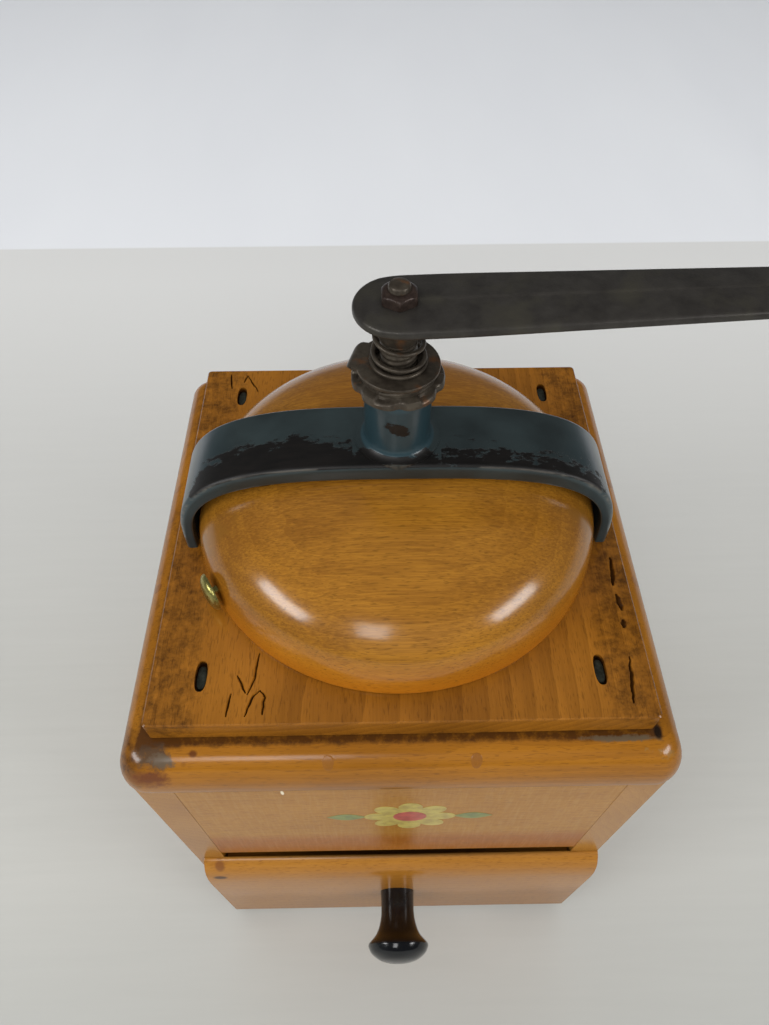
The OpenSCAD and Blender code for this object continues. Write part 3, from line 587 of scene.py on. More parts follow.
def black_lacquer(name):
    """Gloss black lacquer on turned wood, dulled by handling at the rim."""
    material, tree, shader = start_material(name)
    rub = noise(tree, 160.0, 4.0)
    tone = blend_colour(tree, step_between(tree, rub, 0.45, 0.7), "0B0C0F", "16181B")
    set_shader(tree, shader, Base_Color=tone, Roughness=step_between(tree, rub, 0.4, 0.7, 0.16, 0.34),
               Specular_IOR_Level=0.25, Normal=bump(tree, rub, 0.2, 0.06),
               Coat_Weight=0.5, Coat_Roughness=0.12)
    return material


def transfer(name, light, dark):
    """Faded transfer paint: two tones, worn by noise, under the varnish."""
    material, tree, shader = start_material(name)
    tone = blend_colour(tree, step_between(tree, noise(tree, 500.0, 5.0), 0.4, 0.65), light, dark)
    set_shader(tree, shader, Base_Color=tone, Roughness=0.45, Coat_Weight=0.5, Coat_Roughness=0.25)
    return material


# Centre and radii in mm, colour, and how ragged the edge is
PLATE_MARKS_AND_GAP_SHADE = [
    ((-51, -57.3, 134), (4.5, 1.8, 3.5), "5E2E0E", 0.8),
    ((-50, -54.8, 138.5), (3.8, 2.4, 3), "46372A", 1.2),
    ((-48.5, -55.6, 138), (2.6, 1.2, 3), "5C4E3E", 1.6),
    ((-44.1, -56, 137), (1.0, 0.8, 1.5), "5A3012", 0.3),
    ((-42.2, -54.6, 139), (0.9, 0.7, 1.5), "5A3012", 0.3),
    ((44, -53.0, 140), (8.0, 0.7, 1.5), "5A4E3C", 1.4),
    ((51.7, -55.3, 137), (3.6, 1.1, 2), "80683E", 1.4),
    # The next mark is painted shadow in the gap under the square board's lifted right front corner.
    ((52.3, -51.8, 140), (0.9, 1.5, 2), "120C08", 0.2),
]
FRONT_MARKS = [((-26, -57.5, 122), (0.35, 1, 1.4), "F0E6CC", 0.1)]
LIP_MARKS_AND_GAP_SHADE = [
    # The first mark is painted shadow: a black line along the lip's back edge, in the gap before the front
    # board.
    ((0, -56.0, 62.2), (70, 2.2, 3.6), "040302", 0.05),
    ((-50.6, -59.6, 60.5), (1.4, 1.4, 3), "7A4A22", 0.1),
    ((-51.2, -61.6, 55), (2.0, 2.0, 1.1), "3A2212", 0.2),
]
DOME_MARKS = [
    ((-41, -15, 160), (5.0, 3.0, 7), "7C5218", 2.6),
    ((40, -12, 163), (4.0, 2.5, 6), "7C5218", 2.6),
]
box_beech = beech("varnished_beech_side", 1, "A87630", "8E5E22", "6A3F14", (0.09, 0, -0.02), gloss=0.17,
                  coat=0.7)
# On the front board, the richer colour low down over the drawer is a painted reflection of its lip.
front_beech = beech("varnished_beech_front", 0, "A8752A", "90601E", "6A3F14", (0, 0.11, -0.03), gloss=0.24,
                    coat=0.62, deep=(0.08, 0.087, "8A4806"), marks_and_shade=FRONT_MARKS, brushed=0.1)
plain_beech = beech("varnished_beech_plain", 0, "A8722A", "925E1E", "6A3F14", (0, 0.11, 0.02), gloss=0.2,
                    coat=0.66, marks_and_shade=LIP_MARKS_AND_GAP_SHADE)
plate_beech = beech("varnished_beech_plate", 0, "A0681A", "7C4C0E", "5A3410", (0, 0.02, -0.22), gloss=0.18,
                    coat=0.7, stain_and_shade="42260E", flecks=0.4, marks_and_shade=PLATE_MARKS_AND_GAP_SHADE)
board_beech = beech("varnished_beech_board", 1, "9C641C", "6E430F", "452609", (0.03, 0, -0.23),
                    stain_and_shade="2A1708", gloss=0.2, coat=0.7, rings=0.35, flecks=0.4)
dome_beech = beech("varnished_beech_dome", 0, "B47C24", "7A4E17", "58380F", (0, 0.012, -0.235), gloss=0.17,
                   rings=0.14, flecks=0.5, fibres=1.1, deep=(0.1465, 0.157, "BC6E10"), marks_and_shade=DOME_MARKS)
grip_beech = beech("varnished_beech_grip", 2, "A87620", "8A5C18", "6A4416", (-0.2, -0.03, 0))
raw_beech = beech("bare_beech", 1, "BFA070", "A58254", "7C5832", (0.05, 0, -0.05), coat=0.0, flecks=0.3)
enamel = stove_enamel("blue_black_enamel")
dark_steel = metal("blackened_steel", "413E3A", "33302D", 0.38, metallic=0.5, patch=220.0, relief=0.04,
                   spots=("444139", 0.5, 0.7))
patina_steel = metal("brown_patina_steel", "574F44", "3C352D", 0.38, metallic=0.55, patch=420.0,
                     spots=("6E4A2E", 0.6, 0.74))
rust_steel = metal("rusty_steel", "443730", "2C221E", 0.34, metallic=0.5, patch=600.0)
dull_nail = metal("dark_nail_iron", "41443B", "24251F", 0.5, metallic=0.6, patch=900.0)
nail_steel = metal("dull_steel", "77787A", "4C4D50", 0.45, patch=900.0)
burr_steel = metal("hardened_burr_iron", "6C6A66", "4A4845", 0.4, patch=500.0)
cast_iron = metal("sand_cast_iron", "4C4B4A", "333231", 0.62, patch=800.0, relief=0.15)
tinned_sheet = metal("tinned_sheet", "A9A8A2", "85837C", 0.35, spots=("6B5A44", 0.62, 0.78), patch=120.0)
brass = metal("tarnished_brass", "C4BC76", "948B48", 0.3, metallic=0.95, patch=500.0, relief=0.04)
knob_lacquer = black_lacquer("black_lacquer")
stopping = beech("brown_stopping", 1, "8C5A1E", "744616", "5A3210", (0, 0, 0), rings=0.1, flecks=0.1,
                 gloss=0.22, coat=0.7)
print("materials:", len(bpy.data.materials))

# %% [markdown]
# The box is four boards on a base. Sawn boards have flat faces and edges that a plane or paper has
# taken off by a few tenths of a millimetre, and that thin rounding catches the light. The packed
# solids already have the right shape, so each is copied, its triangles are merged back to flat
# faces, and a Bevel modifier rounds the edges. The thin dark joints come from the roundings.

# %% Box boards and drawer boards
EDGE_ROUND, BASE_ROUND = 0.35, 0.6
SAME_PLACE = 0.001
FLAT_ANGLE, EDGE_ANGLE = math.radians(1), math.radians(50)
# Finish, slot, body and rounding of some nodes, each with the name of its copy
BOARDS = [
    (box_beech, "beech_box", "box", EDGE_ROUND, {"left_wall": "left_side", "right_wall": "right_side"}),
    (front_beech, "beech_box", "box", EDGE_ROUND, {"front_panel": "front_board"}),
    (plain_beech, "beech_box", "box", EDGE_ROUND, {"back_wall": "back_board"}),
    (board_beech, "beech_board", "box", BASE_ROUND, {"base_board": "base_plank"}),
    (raw_beech, "beech_raw", "drawer", EDGE_ROUND,
     {"drawer_left_side": "drawer_left_board", "drawer_right_side": "drawer_right_board",
      "drawer_back": "drawer_back_board", "drawer_bottom": "drawer_floor"}),
]


def eased_copy(node, name, width):
    """Copy of a node's mesh with merged flat faces and rounded edges."""
    piece = new_object(name, nodes[node].data.copy())
    edit = bmesh.new()
    edit.from_mesh(piece.data)
    bmesh.ops.remove_doubles(edit, verts=edit.verts, dist=SAME_PLACE * MM)
    bmesh.ops.dissolve_limit(edit, angle_limit=FLAT_ANGLE, verts=edit.verts, edges=edit.edges)
    edit.to_mesh(piece.data)
    edit.free()
    if "custom_normal" in piece.data.attributes:
        piece.data.attributes.remove(piece.data.attributes["custom_normal"])
    piece.data.polygons.foreach_set("use_smooth", [False] * len(piece.data.polygons))
    bevel = piece.modifiers.new("eased_edges", "BEVEL")
    bevel.width = width * MM
    bevel.segments = 3
    bevel.limit_method = "ANGLE"
    bevel.angle_limit = EDGE_ANGLE
    return piece


for wood, slot, body, width, copies in BOARDS:
    for node, name in copies.items():
        finish(eased_copy(node, name, width), wood, slot, body, node)

# %% [markdown]
# The moulded plate under the square board stands a little out over the walls. Its edge is a nosing:
# a small rounding below and a wide, fuller one above. Its corners are rounded over into small balls.
# The outline is a rounded square that shrinks along the moulding's profile. Inside, the square turns
# step by step into the round hopper hole.

# %% Moulded plate
plate_low, plate_high = span("top_plate")
board_low, board_high = span("top_board")
HOPPER_R = 24
NOSE_HIGH, NOSE_LOW = 7, 1.5
CORNER_WIDE, CORNER_NARROW = 5.5, 3.4
WIDEST, NOSE_FULL = 4, 2.3
plate_half = plate_high[0]
nose_rise = plate_high[2] - plate_low[2] - WIDEST


def nose_height(inset):
    """Height of the upper rounding at a distance in from the edge: a quarter superellipse."""
    short = np.clip(1 - np.asarray(inset) / NOSE_HIGH, 0, 1)
    return plate_high[2] - nose_rise + nose_rise * (1 - short ** NOSE_FULL) ** (1 / NOSE_FULL)


def plate_grid():
    """Rows from the lower edge out over the small rounding, in over the wide one, and on over the
    flat top to the hole. The lower rounding ends at the widest line, where the upper one starts."""
    low = np.linspace(-np.pi / 2, 0, 10)
    high = NOSE_HIGH * (1 - np.cos(np.linspace(0, np.pi / 2, 28)[1:]))
    inset = np.concatenate([NOSE_LOW * (1 - np.cos(low)), high, [plate_half - board_high[0]]])
    height = np.concatenate([plate_low[2] + WIDEST * (1 + np.sin(low)), nose_height(high), plate_high[2:]])
    corner = np.interp(inset, [0, NOSE_HIGH], [CORNER_WIDE, CORNER_NARROW])
    loops = [edge_loop(plate_half - i, plate_half - i, c) for i, c in zip(inset, corner)]
    hole = HOPPER_R * unit(loops[-1])
    rows = [raised(loop, z) for loop, z in zip(loops, height)]
    rows += rows_between(loops[-1], hole, np.linspace(0, 1, 8)[1:], plate_high[2])
    return rows + rows_between(loops[0], hole, np.linspace(1, 0, 8)[:-1], plate_low[2])


moulding = surface("moulded_plate", plate_grid(), wrap_rows=True, sharp=50)
x, y, z = points_of(moulding)
inset = plate_half - np.maximum(np.abs(x), np.abs(y))
joint = ramp(inset, 4.4, 6.6)
corner_dirt = ramp(-x - y, 100, 112) * ramp(z, plate_low[2] + 3, plate_high[2] - 3)
left_front = ramp(-x, 34, 54) * ramp(-y, 44, 54) * ramp(inset, 1, 5)
left_side = ramp(-x, 50, 55)
paint(moulding, "grime_and_shade", 0.72 * joint + 0.25 * corner_dirt + 0.15 * left_front + 0.34 * left_side)
finish(moulding, plate_beech, "beech_box", "box", "top_plate")

# %% [markdown]
# Nails hold the plate to the walls. They are driven in below its rounding, and the joiner closed
# each hole with brown stopping. A plug is a small disc that follows the rounding and stands a hair
# proud of it: each ring of its points is lifted to the height of the surface below.

# %% Stopped nail holes
PLUG_R, PLUG_PROUD, PLUG_DEEP = 1.2, 0.04, 1.2
NAIL_IN, NAIL_ALONG = 2.6, 15
# Share of the plug's radius, and how far the ring lies under its top, in heights that it is proud
PLUG_RINGS = [(0, 0), (0.4, 0), (0.8, 0), (0.97, 0.3), (1, 1), (1, 1 + PLUG_DEEP / PLUG_PROUD)]


def plug_grid(along_edge, side):
    """Rings from the middle of the plug out, then down into the wood. side is one of four quarter
    turns of the plug that lies on the front edge."""
    rows = []
    for share, sink in PLUG_RINGS:
        flat = share * PLUG_R * circle(24) + [along_edge, NAIL_IN - plate_half]
        rows.append(raised(flat, nose_height(plate_half + flat[:, 1]) + PLUG_PROUD * (1 - sink)))
    return turned(rows, side * math.pi / 2)


plugs = [surface("plug", plug_grid(place, side)) for side in range(4) for place in (-NAIL_ALONG, NAIL_ALONG)]
finish(join_pieces("nail_stopping", plugs), stopping, "beech_board", "box")

# %% [markdown]
# A small painted transfer decorates the front: a gold rosette with a red centre and a green leaf at
# either side. Each part is a thin flat shape on the board, drawn as one closed outline in (x, z).

# %% Painted flower
FLOWER_PLACE = [2.4, 101.5]
ROSETTE_R, CENTRE_R = 11, 4
LEAF_FROM, LEAF_TO, LEAF_WIDE = 10.5, 20, 5
PETALS, PETAL_DEEP = 8, 0.34
PAINT_SUNK, PAINT_T, CENTRE_T = 0.02, 0.05, 0.09
panel_front = span("front_panel")[0][1]


def flat_shape(name, outline, thick):
    """Thin solid on the front board over an outline in (x, z)."""
    across, up = (outline + FLOWER_PLACE).T
    places = [np.full(len(up), panel_front - out) for out in (-PAINT_SUNK, thick)]
    return surface(name, [np.column_stack([across, place, up]) for place in places], sharp=30)


def leaf(side):
    """Lens between two points: half its width is a sine of the way along."""
    way = np.linspace(0, 1, 25)
    place = side * (LEAF_FROM + (LEAF_TO - LEAF_FROM) * way)
    wide = LEAF_WIDE / 2 * np.sin(np.pi * way)
    return np.concatenate([np.column_stack([place, wide]), np.column_stack([place, -wide])[-2:0:-1]])


swell = np.abs(np.cos(PETALS / 2 * full_turn(160))) ** 0.7
petals = ROSETTE_R * (1 - PETAL_DEEP + PETAL_DEEP * swell)[:, None] * circle(160)
gold_paint = transfer("faded_gold_paint", "B5A34A", "9A8436")
red_paint = transfer("faded_red_paint", "B04A3C", "983A2C")
green_paint = transfer("faded_green_paint", "75803A", "5C662E")
finish(flat_shape("flower_petals", petals, PAINT_T), gold_paint, "beech_box", "box")
finish(flat_shape("flower_centre", CENTRE_R * circle(160), CENTRE_T), red_paint, "beech_box", "box")
leaves = [flat_shape("leaf", leaf(side), PAINT_T) for side in (-1, 1)]
finish(join_pieces("flower_leaves", leaves), green_paint, "beech_box", "box")

# %% [markdown]
# The square board is sharp-edged and has warped a little: its right front corner stands up by half a
# millimetre. Old drying cracks run from its four nail slots, filled with dark dirt. Slots and cracks
# are cut with Booleans, so they are real hollows. Their corners below the surface are painted dark:
# dirt in the cracks and painted shade in the slots.

# %% Square board with slots and cracks
BOARD_LIFT, BOARD_EDGE, BOARD_CORNER = 0.55, 0.3, 0.8
SLOT_LONG, SLOT_WIDE, SLOT_DEEP = 6.8, 2.5, 1.9
NAIL_INSET = 10.5
CRACK_DEEP, CRACK_STEP, CRACK_JAG = 0.6, 0.8, 0.09
CRACK_OVER, CRACK_FLARE = 0.4, 1.6
SUNK_REACH = 50.9
nail_x = board_high[0] - NAIL_INSET
NAIL_PLACES = [(sx * nail_x, sy * nail_x) for sx in (-1, 1) for sy in (-1, 1)]
# Each crack's width and its line on the board's top, in mm
CRACKS = [
    (0.75, [(-29.4, -36.0), (-30.0, -41.8), (-31.2, -45.2)]),
    (0.8, [(-33.6, -40.9), (-31.5, -44.9)]),
    (0.7, [(-34.4, -44.8), (-35.0, -49.8)]),
    (0.75, [(-31.3, -49.8), (-29.9, -45.4), (-28.5, -44.2)]),
    (0.85, [(-28.7, -44.3), (-27.6, -45.4), (-27.8, -49.5)]),
    (0.6, [(-44.9, 49.8), (-44.1, 43.9)]),
    (0.6, [(-41.0, 46.4), (-40.2, 49.4)]),
    (0.6, [(-40.1, 49.2), (-38.5, 46.2), (-36.8, 42.6)]),
    (1.2, [(48.7, -13.2), (48.6, -16.5), (47.9, -20.9)]),
    (1.5, [(48.1, -23.0), (48.5, -27.3)]),
    (1.5, [(48.3, -29.4), (47.9, -31.6)]),
    (0.9, [(47.6, -38.2), (46.3, -48.5)]),
]


def warp(px, py):
    """How far the board has lifted at a place: most at its right front corner."""
    return BOARD_LIFT * ramp(px, 0, board_high[0]) * ramp(-py, 10, board_high[0])


def crack_tool(wide, line):
    """Wedge along a broken line: its two upper corners stand aside by half the width, which narrows
    towards both ends, and its lower edge lies under the line."""
    line = np.array(line)
    top = board_high[2] + warp(*line[0])
    length = np.linalg.norm(np.diff(line, axis=0), axis=1).sum()
    line = respaced(line, max(5, int(length / CRACK_STEP)))
    random = np.random.default_rng(len(line) + int(abs(line[0, 0])))
    line[1:-1] += random.normal(0, CRACK_JAG, line.shape)[1:-1]
    ahead = np.gradient(line, axis=0)
    share = np.linspace(0, 1, len(line))[:, None]
    half = wide / 2 * (0.35 + 0.65 * np.sin(np.pi * np.clip(share, 0.03, 0.97)))
    aside = unit(np.column_stack([-ahead[:, 1], ahead[:, 0]])) * half * CRACK_FLARE
    left, right = (raised(line + out, top + CRACK_OVER) for out in (aside, -aside))
    return surface("crack_tool", np.stack([left, raised(line, top - CRACK_DEEP), right], 1))


def board_grid():
    """Loops of a sharp-edged square: under side from the hole out, up the edge, over the top."""
    half = board_high[0]
    low, top = board_low[2] + 0.02, board_high[2]
    outer = edge_loop(half, half, BOARD_CORNER, per_side=60, per_corner=4)
    inner = outer * (half - BOARD_EDGE) / half
    hole = HOPPER_R * unit(outer)
    shares = np.linspace(0, 1, 16)
    rows = rows_between(hole, inner, shares, low)
    rows += [raised(outer, low + BOARD_EDGE), raised(outer, top - BOARD_EDGE)]
    grid = np.array(rows + rows_between(hole, inner, shares[::-1], top))
    grid[..., 2] += warp(grid[..., 0], grid[..., 1])
    return grid


square_board = surface("square_board", board_grid(), wrap_rows=True, sharp=30)
slot = flat_loop(SLOT_LONG, SLOT_WIDE)
tools = [prism("slot_tool", slot + p, board_high[2] - SLOT_DEEP, board_high[2] + 2) for p in NAIL_PLACES]
for tool in tools + [crack_tool(*crack) for crack in CRACKS]:
    join_shapes(square_board, tool, "DIFFERENCE", 30)
x, y, z = points_of(square_board)
within = np.maximum(np.abs(x), np.abs(y)) < SUNK_REACH
# Below the surface the board is painted dark: dirt in the cracks and painted shade in the slots.
sunk_dirt_and_shade = ramp(board_high[2] + warp(x, y) - z, 0.02, 0.25) * within
foot = ramp(board_low[2] + 2.2 - z, 0, 2.2)
side_dirt = ramp(np.abs(x), 34, 45) * (z > board_high[2] - 0.5)
paint(square_board, "grime_and_shade", sunk_dirt_and_shade + 0.42 * foot + 0.5 * side_dirt)
finish(square_board, board_beech, "beech_board", "box", "top_board")

# %% [markdown]
# The oval nails are cut from flat wire. Their heads lie below the board, a little dented by the punch.

# %% Oval nail heads
HEAD_LONG, HEAD_WIDE, HEAD_SUNK, HEAD_DENT = 5.2, 2.0, 0.75, 0.05
# Share of the oval, and mm under the head's top
HEAD_RINGS = [(1, 1.6), (1, 0.25), (0.93, 0.08), (0.7, 0.0), (0.35, 0.02), (0.0, 0.03)]


def nail_head_grid(place, seed):
    """Flat dome over an oval; each ring is dented by its own slow wave."""
    random = np.random.default_rng(seed)
    rows = []
    for share, drop in HEAD_RINGS:
        p = flat_loop(HEAD_LONG, HEAD_WIDE) * share
        dent = HEAD_DENT * np.sin(p[:, 1] * random.uniform(0.8, 2) + random.uniform(0, 6)) * (share < 1)
        rows.append(raised(p + place, board_high[2] + warp(*place) - HEAD_SUNK - drop + dent))
    return rows


heads = [surface("oval_nail", nail_head_grid(p, i + 3)) for i, p in enumerate(NAIL_PLACES)]
finish(join_pieces("oval_nails", heads), dull_nail, "nail_steel", "box", "board_nails")

# %% [markdown]
# The dome is turned on a lathe and hollow inside. Its outline is a superellipse: flatter on top and
# fuller at the shoulder than an ellipse. The closed profile runs up the outside, down the shaft's
# bore and back under the hollow. The filling slot is then cut through one side of it.

# %% Dome and tack
dome_low, dome_high = span("dome")
DOME_WALL, DOME_FULL, DOME_FOOT = 8, 2.65, 0.25
BORE_R = 3.8
SLOT_IN, SLOT_END, SLOT_SIDE = 9, 35, 15
dome_r, dome_h = dome_high[0], dome_high[2] - dome_low[2]
outer = arch(dome_r, dome_h, DOME_FULL, 110)
inner = arch(dome_r - DOME_WALL, dome_h - DOME_WALL, DOME_FULL, 60)
profile = np.concatenate([outer[outer[:, 0] > BORE_R], inner[inner[:, 0] > BORE_R][::-1]])
profile[0, 0] = dome_r - DOME_FOOT
dome = lathe("dome_shell", profile, (0, 0, dome_low[2]), 220, hollow=True)
slot = edge_loop((SLOT_END - SLOT_IN) / 2, SLOT_SIDE / 2, SLOT_SIDE / 2 - 0.01, 8, 14)
middle = [-(SLOT_IN + SLOT_END) / 2, 0]
join_shapes(dome, prism("slot_tool", slot + middle, dome_low[2] - 1, dome_high[2] + 1), "DIFFERENCE")
paint(dome, "grime_and_shade", 0.32 * ramp(dome_low[2] + 1.2 - points_of(dome)[2], 0, 1.2))
finish(dome, dome_beech, "beech_dome", "dome", "dome")

tack_low, tack_high = span("dome_tack")
TACK_R, TACK_H, TACK_FULL, TACK_LIFT = 4.2, 1.9, 2.2, 0.1
TACK_PIN_R, TACK_PIN_L = 0.8, 6
TACK_AZIMUTH, TACK_REACH = math.radians(211), 46.39
outward = Matrix.Rotation(TACK_AZIMUTH, 3, "Z") @ Matrix.Rotation(math.pi / 2, 3, "Y")
seat = ring(TACK_REACH, (tack_low[2] + tack_high[2]) / 2, TACK_AZIMUTH)
tack_pin = [(0, -TACK_PIN_L), (TACK_PIN_R, -TACK_PIN_L), (TACK_PIN_R, TACK_LIFT), (TACK_R * 0.9, TACK_LIFT)]
tack_head = arch(TACK_R, TACK_H, TACK_FULL, 24) + [0, TACK_LIFT]
tack = lathe("brass_tack", np.concatenate([tack_pin, tack_head]), seat, 48, turn=outward)
finish(tack, brass, "brass", "dome", "dome_tack")

# %% [markdown]
# The strap is bent from flat iron: its width runs across the bend and its thickness grows from the
# legs to the crown. Two superellipses give its inner and outer line. The section is a rectangle with
# rounded edges, carried along both lines at once. A turned boss with a hollow fillet at its foot is
# joined on top, and two tenons go down through the boards.

# %% Strap with its boss
strap_low, strap_high = span("strap")
shaft_low, shaft_high = span("drive_shaft")
STRAP_FULL, STRAP_T, LEG_T = 3.2, 4.3, 2.6
BOSS_R, BOSS_FILLET, BOSS_H, BOSS_SUNK = 6.75, 2.2, 14.5, 2
BOSS_HOLE, SHAFT_HOLE = 3.6, 3.56
TENON_T, TENON_W, TENON_X = 2, 12, 47.4
half_width, boss_top = strap_high[1:]
boss_foot = boss_top - BOSS_H
strap_rise = boss_foot - board_high[2]


def strap_line(thin, count=90):
    """The bend as seen from the front, one thickness (in x and z) inside the strap's outer line."""
    side = arch(strap_high[0] - thin[0], strap_rise - thin[1], STRAP_FULL, count)
    return np.concatenate([side, (side * [-1, 1])[::-1][1:]])


def strap_grid():
    """Stations along the bend; the section's own height runs from the inner to the outer line."""
    outer, inner = strap_line((0, 0)), strap_line((LEG_T, STRAP_T))
    box = eased([(-half_width, 0), (half_width, 0), (half_width, LEG_T), (-half_width, LEG_T)],
                [0.5, 0.5, 1.1, 1.1], 7) / [half_width, LEG_T]
    crown = 1 - 0.05 * box[:, 0] ** 2 * (box[:, 1] > 0.5)
    line = inner[:, None] + (outer - inner)[:, None] * (box[:, 1] * crown)[None, :, None]
    across = np.broadcast_to(box[:, 0] * half_width, line.shape[:2])
    return np.stack([line[..., 0], across, board_high[2] + line[..., 1]], -1)


bend = np.linspace(0, np.pi / 2, 12)
foot = [(BOSS_R - BOSS_SUNK, boss_foot - BOSS_SUNK), (BOSS_R + BOSS_FILLET, boss_foot - BOSS_SUNK)]
fillet = [BOSS_R, boss_foot] + BOSS_FILLET * (1 - np.column_stack([np.sin(bend), np.cos(bend)]))
cap = [(BOSS_R, boss_top - 1.2), (BOSS_R - 0.2, boss_top - 0.4), (BOSS_R - 0.8, boss_top),
       (BOSS_HOLE, boss_top), (BOSS_HOLE, boss_foot - BOSS_SUNK)]
wall = respaced([fillet[-1], cap[0]], 10)[1:-1]
strap = surface("iron_strap", strap_grid(), sharp=50)
join_shapes(strap, lathe("boss", np.concatenate([foot, fillet, wall, cap]), hollow=True), "UNION", 50)
for side in (-1, 1):
    tenon = edge_loop(TENON_T / 2, TENON_W / 2, 0.2, 1, 3) + [side * TENON_X, 0]
    join_shapes(strap, prism("tenon", tenon, strap_low[2], board_high[2] + 1), "UNION", 50)
bore = edge_loop(SHAFT_HOLE, SHAFT_HOLE, SHAFT_HOLE - 0.01, 1, 16)
join_shapes(strap, prism("bore", bore, boss_foot - 8, boss_top + 1), "DIFFERENCE", 50)
x, y, z = points_of(strap)
on_boss = np.hypot(x, y) < BOSS_R + 1.2
front_band = ramp(-y, 0.5, 6.5) * ramp(z, dome_low[2] + 12, dome_low[2] + 20)
spill = 0.35 * bell(x + 26, 14) * ramp(-y, -4, 4)
chip = bell(x + 0.2, 3.6) * bell(z - boss_foot - 8.0 + 0.35 * x, 2.6) * (y < 0)
worn = np.where(on_boss & (z > boss_foot + 0.8), 0.75 * chip, 0.62 * front_band + spill)
paint(strap, "worn", worn * (y > 0.2 - half_width))
side_share, rise_share = np.abs(x) / strap_high[0], np.clip(z - board_high[2], 0, None) / strap_rise
fullness = side_share ** STRAP_FULL + rise_share ** STRAP_FULL
# The front top edge, away from the boss, gets a painted highlight line.
edge = (fullness > 0.93) & (np.abs(y) > half_width - 0.45) & (np.abs(y) < half_width - 0.05)
paint(strap, "rim", edge * (y < 0) * ~on_boss * 0.7)
paint(strap, "blue", ramp(np.abs(x), 34, 44) * 0.4 + on_boss * (z > boss_foot + 0.5) * 0.9)
finish(strap, enamel, "enamel", "box", "strap")

# %% [markdown]
# The adjusting nut has six lobes and a crown cut into ramps, like a saw. Its radius and its height
# are both functions of the angle. The locking plate above it is a thin disc with a finger tab that
# curls down over the nut's side. The spring is a wire along a helix whose ends lie flat.

# %% Adjusting nut, locking plate and spring
nut_low, nut_high = span("adjusting_nut")
lock_top = span("locking_plate")[1][2]
spring_low, spring_high = span("crank_spring")
LOBES, LOBE_H = 6, 2.5
NUT_R, CROWN_R, NUT_BORE = 9, 7.3, 3.58


def nut_grid(count=240):
    """Rows up the outside and down the bore. The flange's radius dips between the lobes, and its
    upper face climbs along each lobe and then drops, as the teeth of a ratchet do."""
    angle = full_turn(count)
    phase = (angle * LOBES / (2 * np.pi)) % 1
    climb = ramp(phase, 0.02, 0.9) * (1 - ramp(phase, 0.93, 0.99))
    flange = NUT_R - 0.75 * bell(phase - 0.5, 0.13)
    top = nut_high[2] - nut_low[2]
    # Radius, height, and how far the climb lifts it
    rows = [(NUT_BORE, 0, 0), (flange - 1.3, 0, 0), (flange - 0.5, 0.15, 0),
            (flange, 0.6, 0), (flange, LOBE_H - 1.1, 0.4),
            (flange - 0.25, LOBE_H - 0.75, 0.5), (flange - 0.6, LOBE_H - 0.6, 0.5),
            (np.minimum(flange - 0.7, CROWN_R + 0.4), LOBE_H - 0.55, 0.5),
            (CROWN_R, LOBE_H - 0.2, 0.2), (CROWN_R, top - 1.25, 0.95),
            (CROWN_R - 0.25, top - 1.05, 1.05), (CROWN_R - 2.2, top - 0.95, 0.95),
            (CROWN_R - 2.4, top, 0), (NUT_BORE, top, 0)]
    return [ring(radius, nut_low[2] + (height + rise * climb), angle) for radius, height, rise in rows]


nut = surface("lobed_nut", nut_grid(), wrap_rows=True, sharp=35)
finish(nut, patina_steel, "worn_steel", "adjuster", "adjusting_nut")

LOCK_R, LOCK_T, LOCK_BORE = 8, 0.9, 3.6
TAB_AZIMUTH, TAB_WIDE, TAB_BEND = math.radians(163), 8, 1.3
disc = eased([(LOCK_BORE, 0), (LOCK_R, 0), (LOCK_R, LOCK_T), (LOCK_BORE, LOCK_T)], 0.3)
plate = lathe("lock_plate", disc, (0, 0, lock_top - LOCK_T), hollow=True)


def tab_grid():
    """Strip that leaves the disc, curls down over a quarter circle and narrows to its end."""
    start, reach = LOCK_R - 2.4, NUT_R + 0.2
    a = np.linspace(0, np.pi / 2, 10)
    flat = np.column_stack([np.linspace(start, reach - TAB_BEND, 5), np.full(5, -LOCK_T / 2)])
    curl = [reach - TAB_BEND, -LOCK_T / 2 - TAB_BEND] + TAB_BEND * np.column_stack([np.sin(a), np.cos(a)])
    path = respaced(np.concatenate([flat, curl[1:]]), 22)
    ahead = unit(np.gradient(path, axis=0))
    up = np.column_stack([-ahead[:, 1], ahead[:, 0]])
    taper = np.interp(np.linspace(0, 1, len(path)), [0, 0.6, 0.85, 1], [1, 0.95, 0.75, 0.4])
    section = eased([(-0.5, -0.5), (0.5, -0.5), (0.5, 0.5), (-0.5, 0.5)], 0.18, 4)
    side_view = path[:, None] + up[:, None] * (section[:, 1] * LOCK_T)[None, :, None]
    aside = taper[:, None] * section[:, 0] * TAB_WIDE
    return turned(np.stack([side_view[..., 0], aside, side_view[..., 1] + lock_top], -1), TAB_AZIMUTH)


join_shapes(plate, surface("tab", tab_grid(), sharp=50), "UNION", 50)
finish(plate, patina_steel, "worn_steel", "lock", "locking_plate")

WIRE_R, COIL_STEPS, COIL_EVEN = 0.45, 430, 41
# Turns of the wire, and its rise and radius in mm there: both end turns lie nearly flat
COIL = [(0, 0, 5.15), (0.75, 0.02, 5.15), (1.75, 1.35, 4.85), (2.75, 4.9, 4.5), (3.75, 9.3, 4.3),
        (4.3, 10.7, 4.3)]


def tube(name, path, radius, sides=12):
    """Round wire: circles across the path, each turned by the path's own direction."""
    ahead = unit(np.gradient(path, axis=0))
    side = unit(np.cross(ahead, [0, 0, 1]))
    up = np.cross(side, ahead)
    c, s = circle(sides).T[:, None, :, None]
    return surface(name, path[:, None] + radius * (c * side[:, None] + s * up[:, None]))


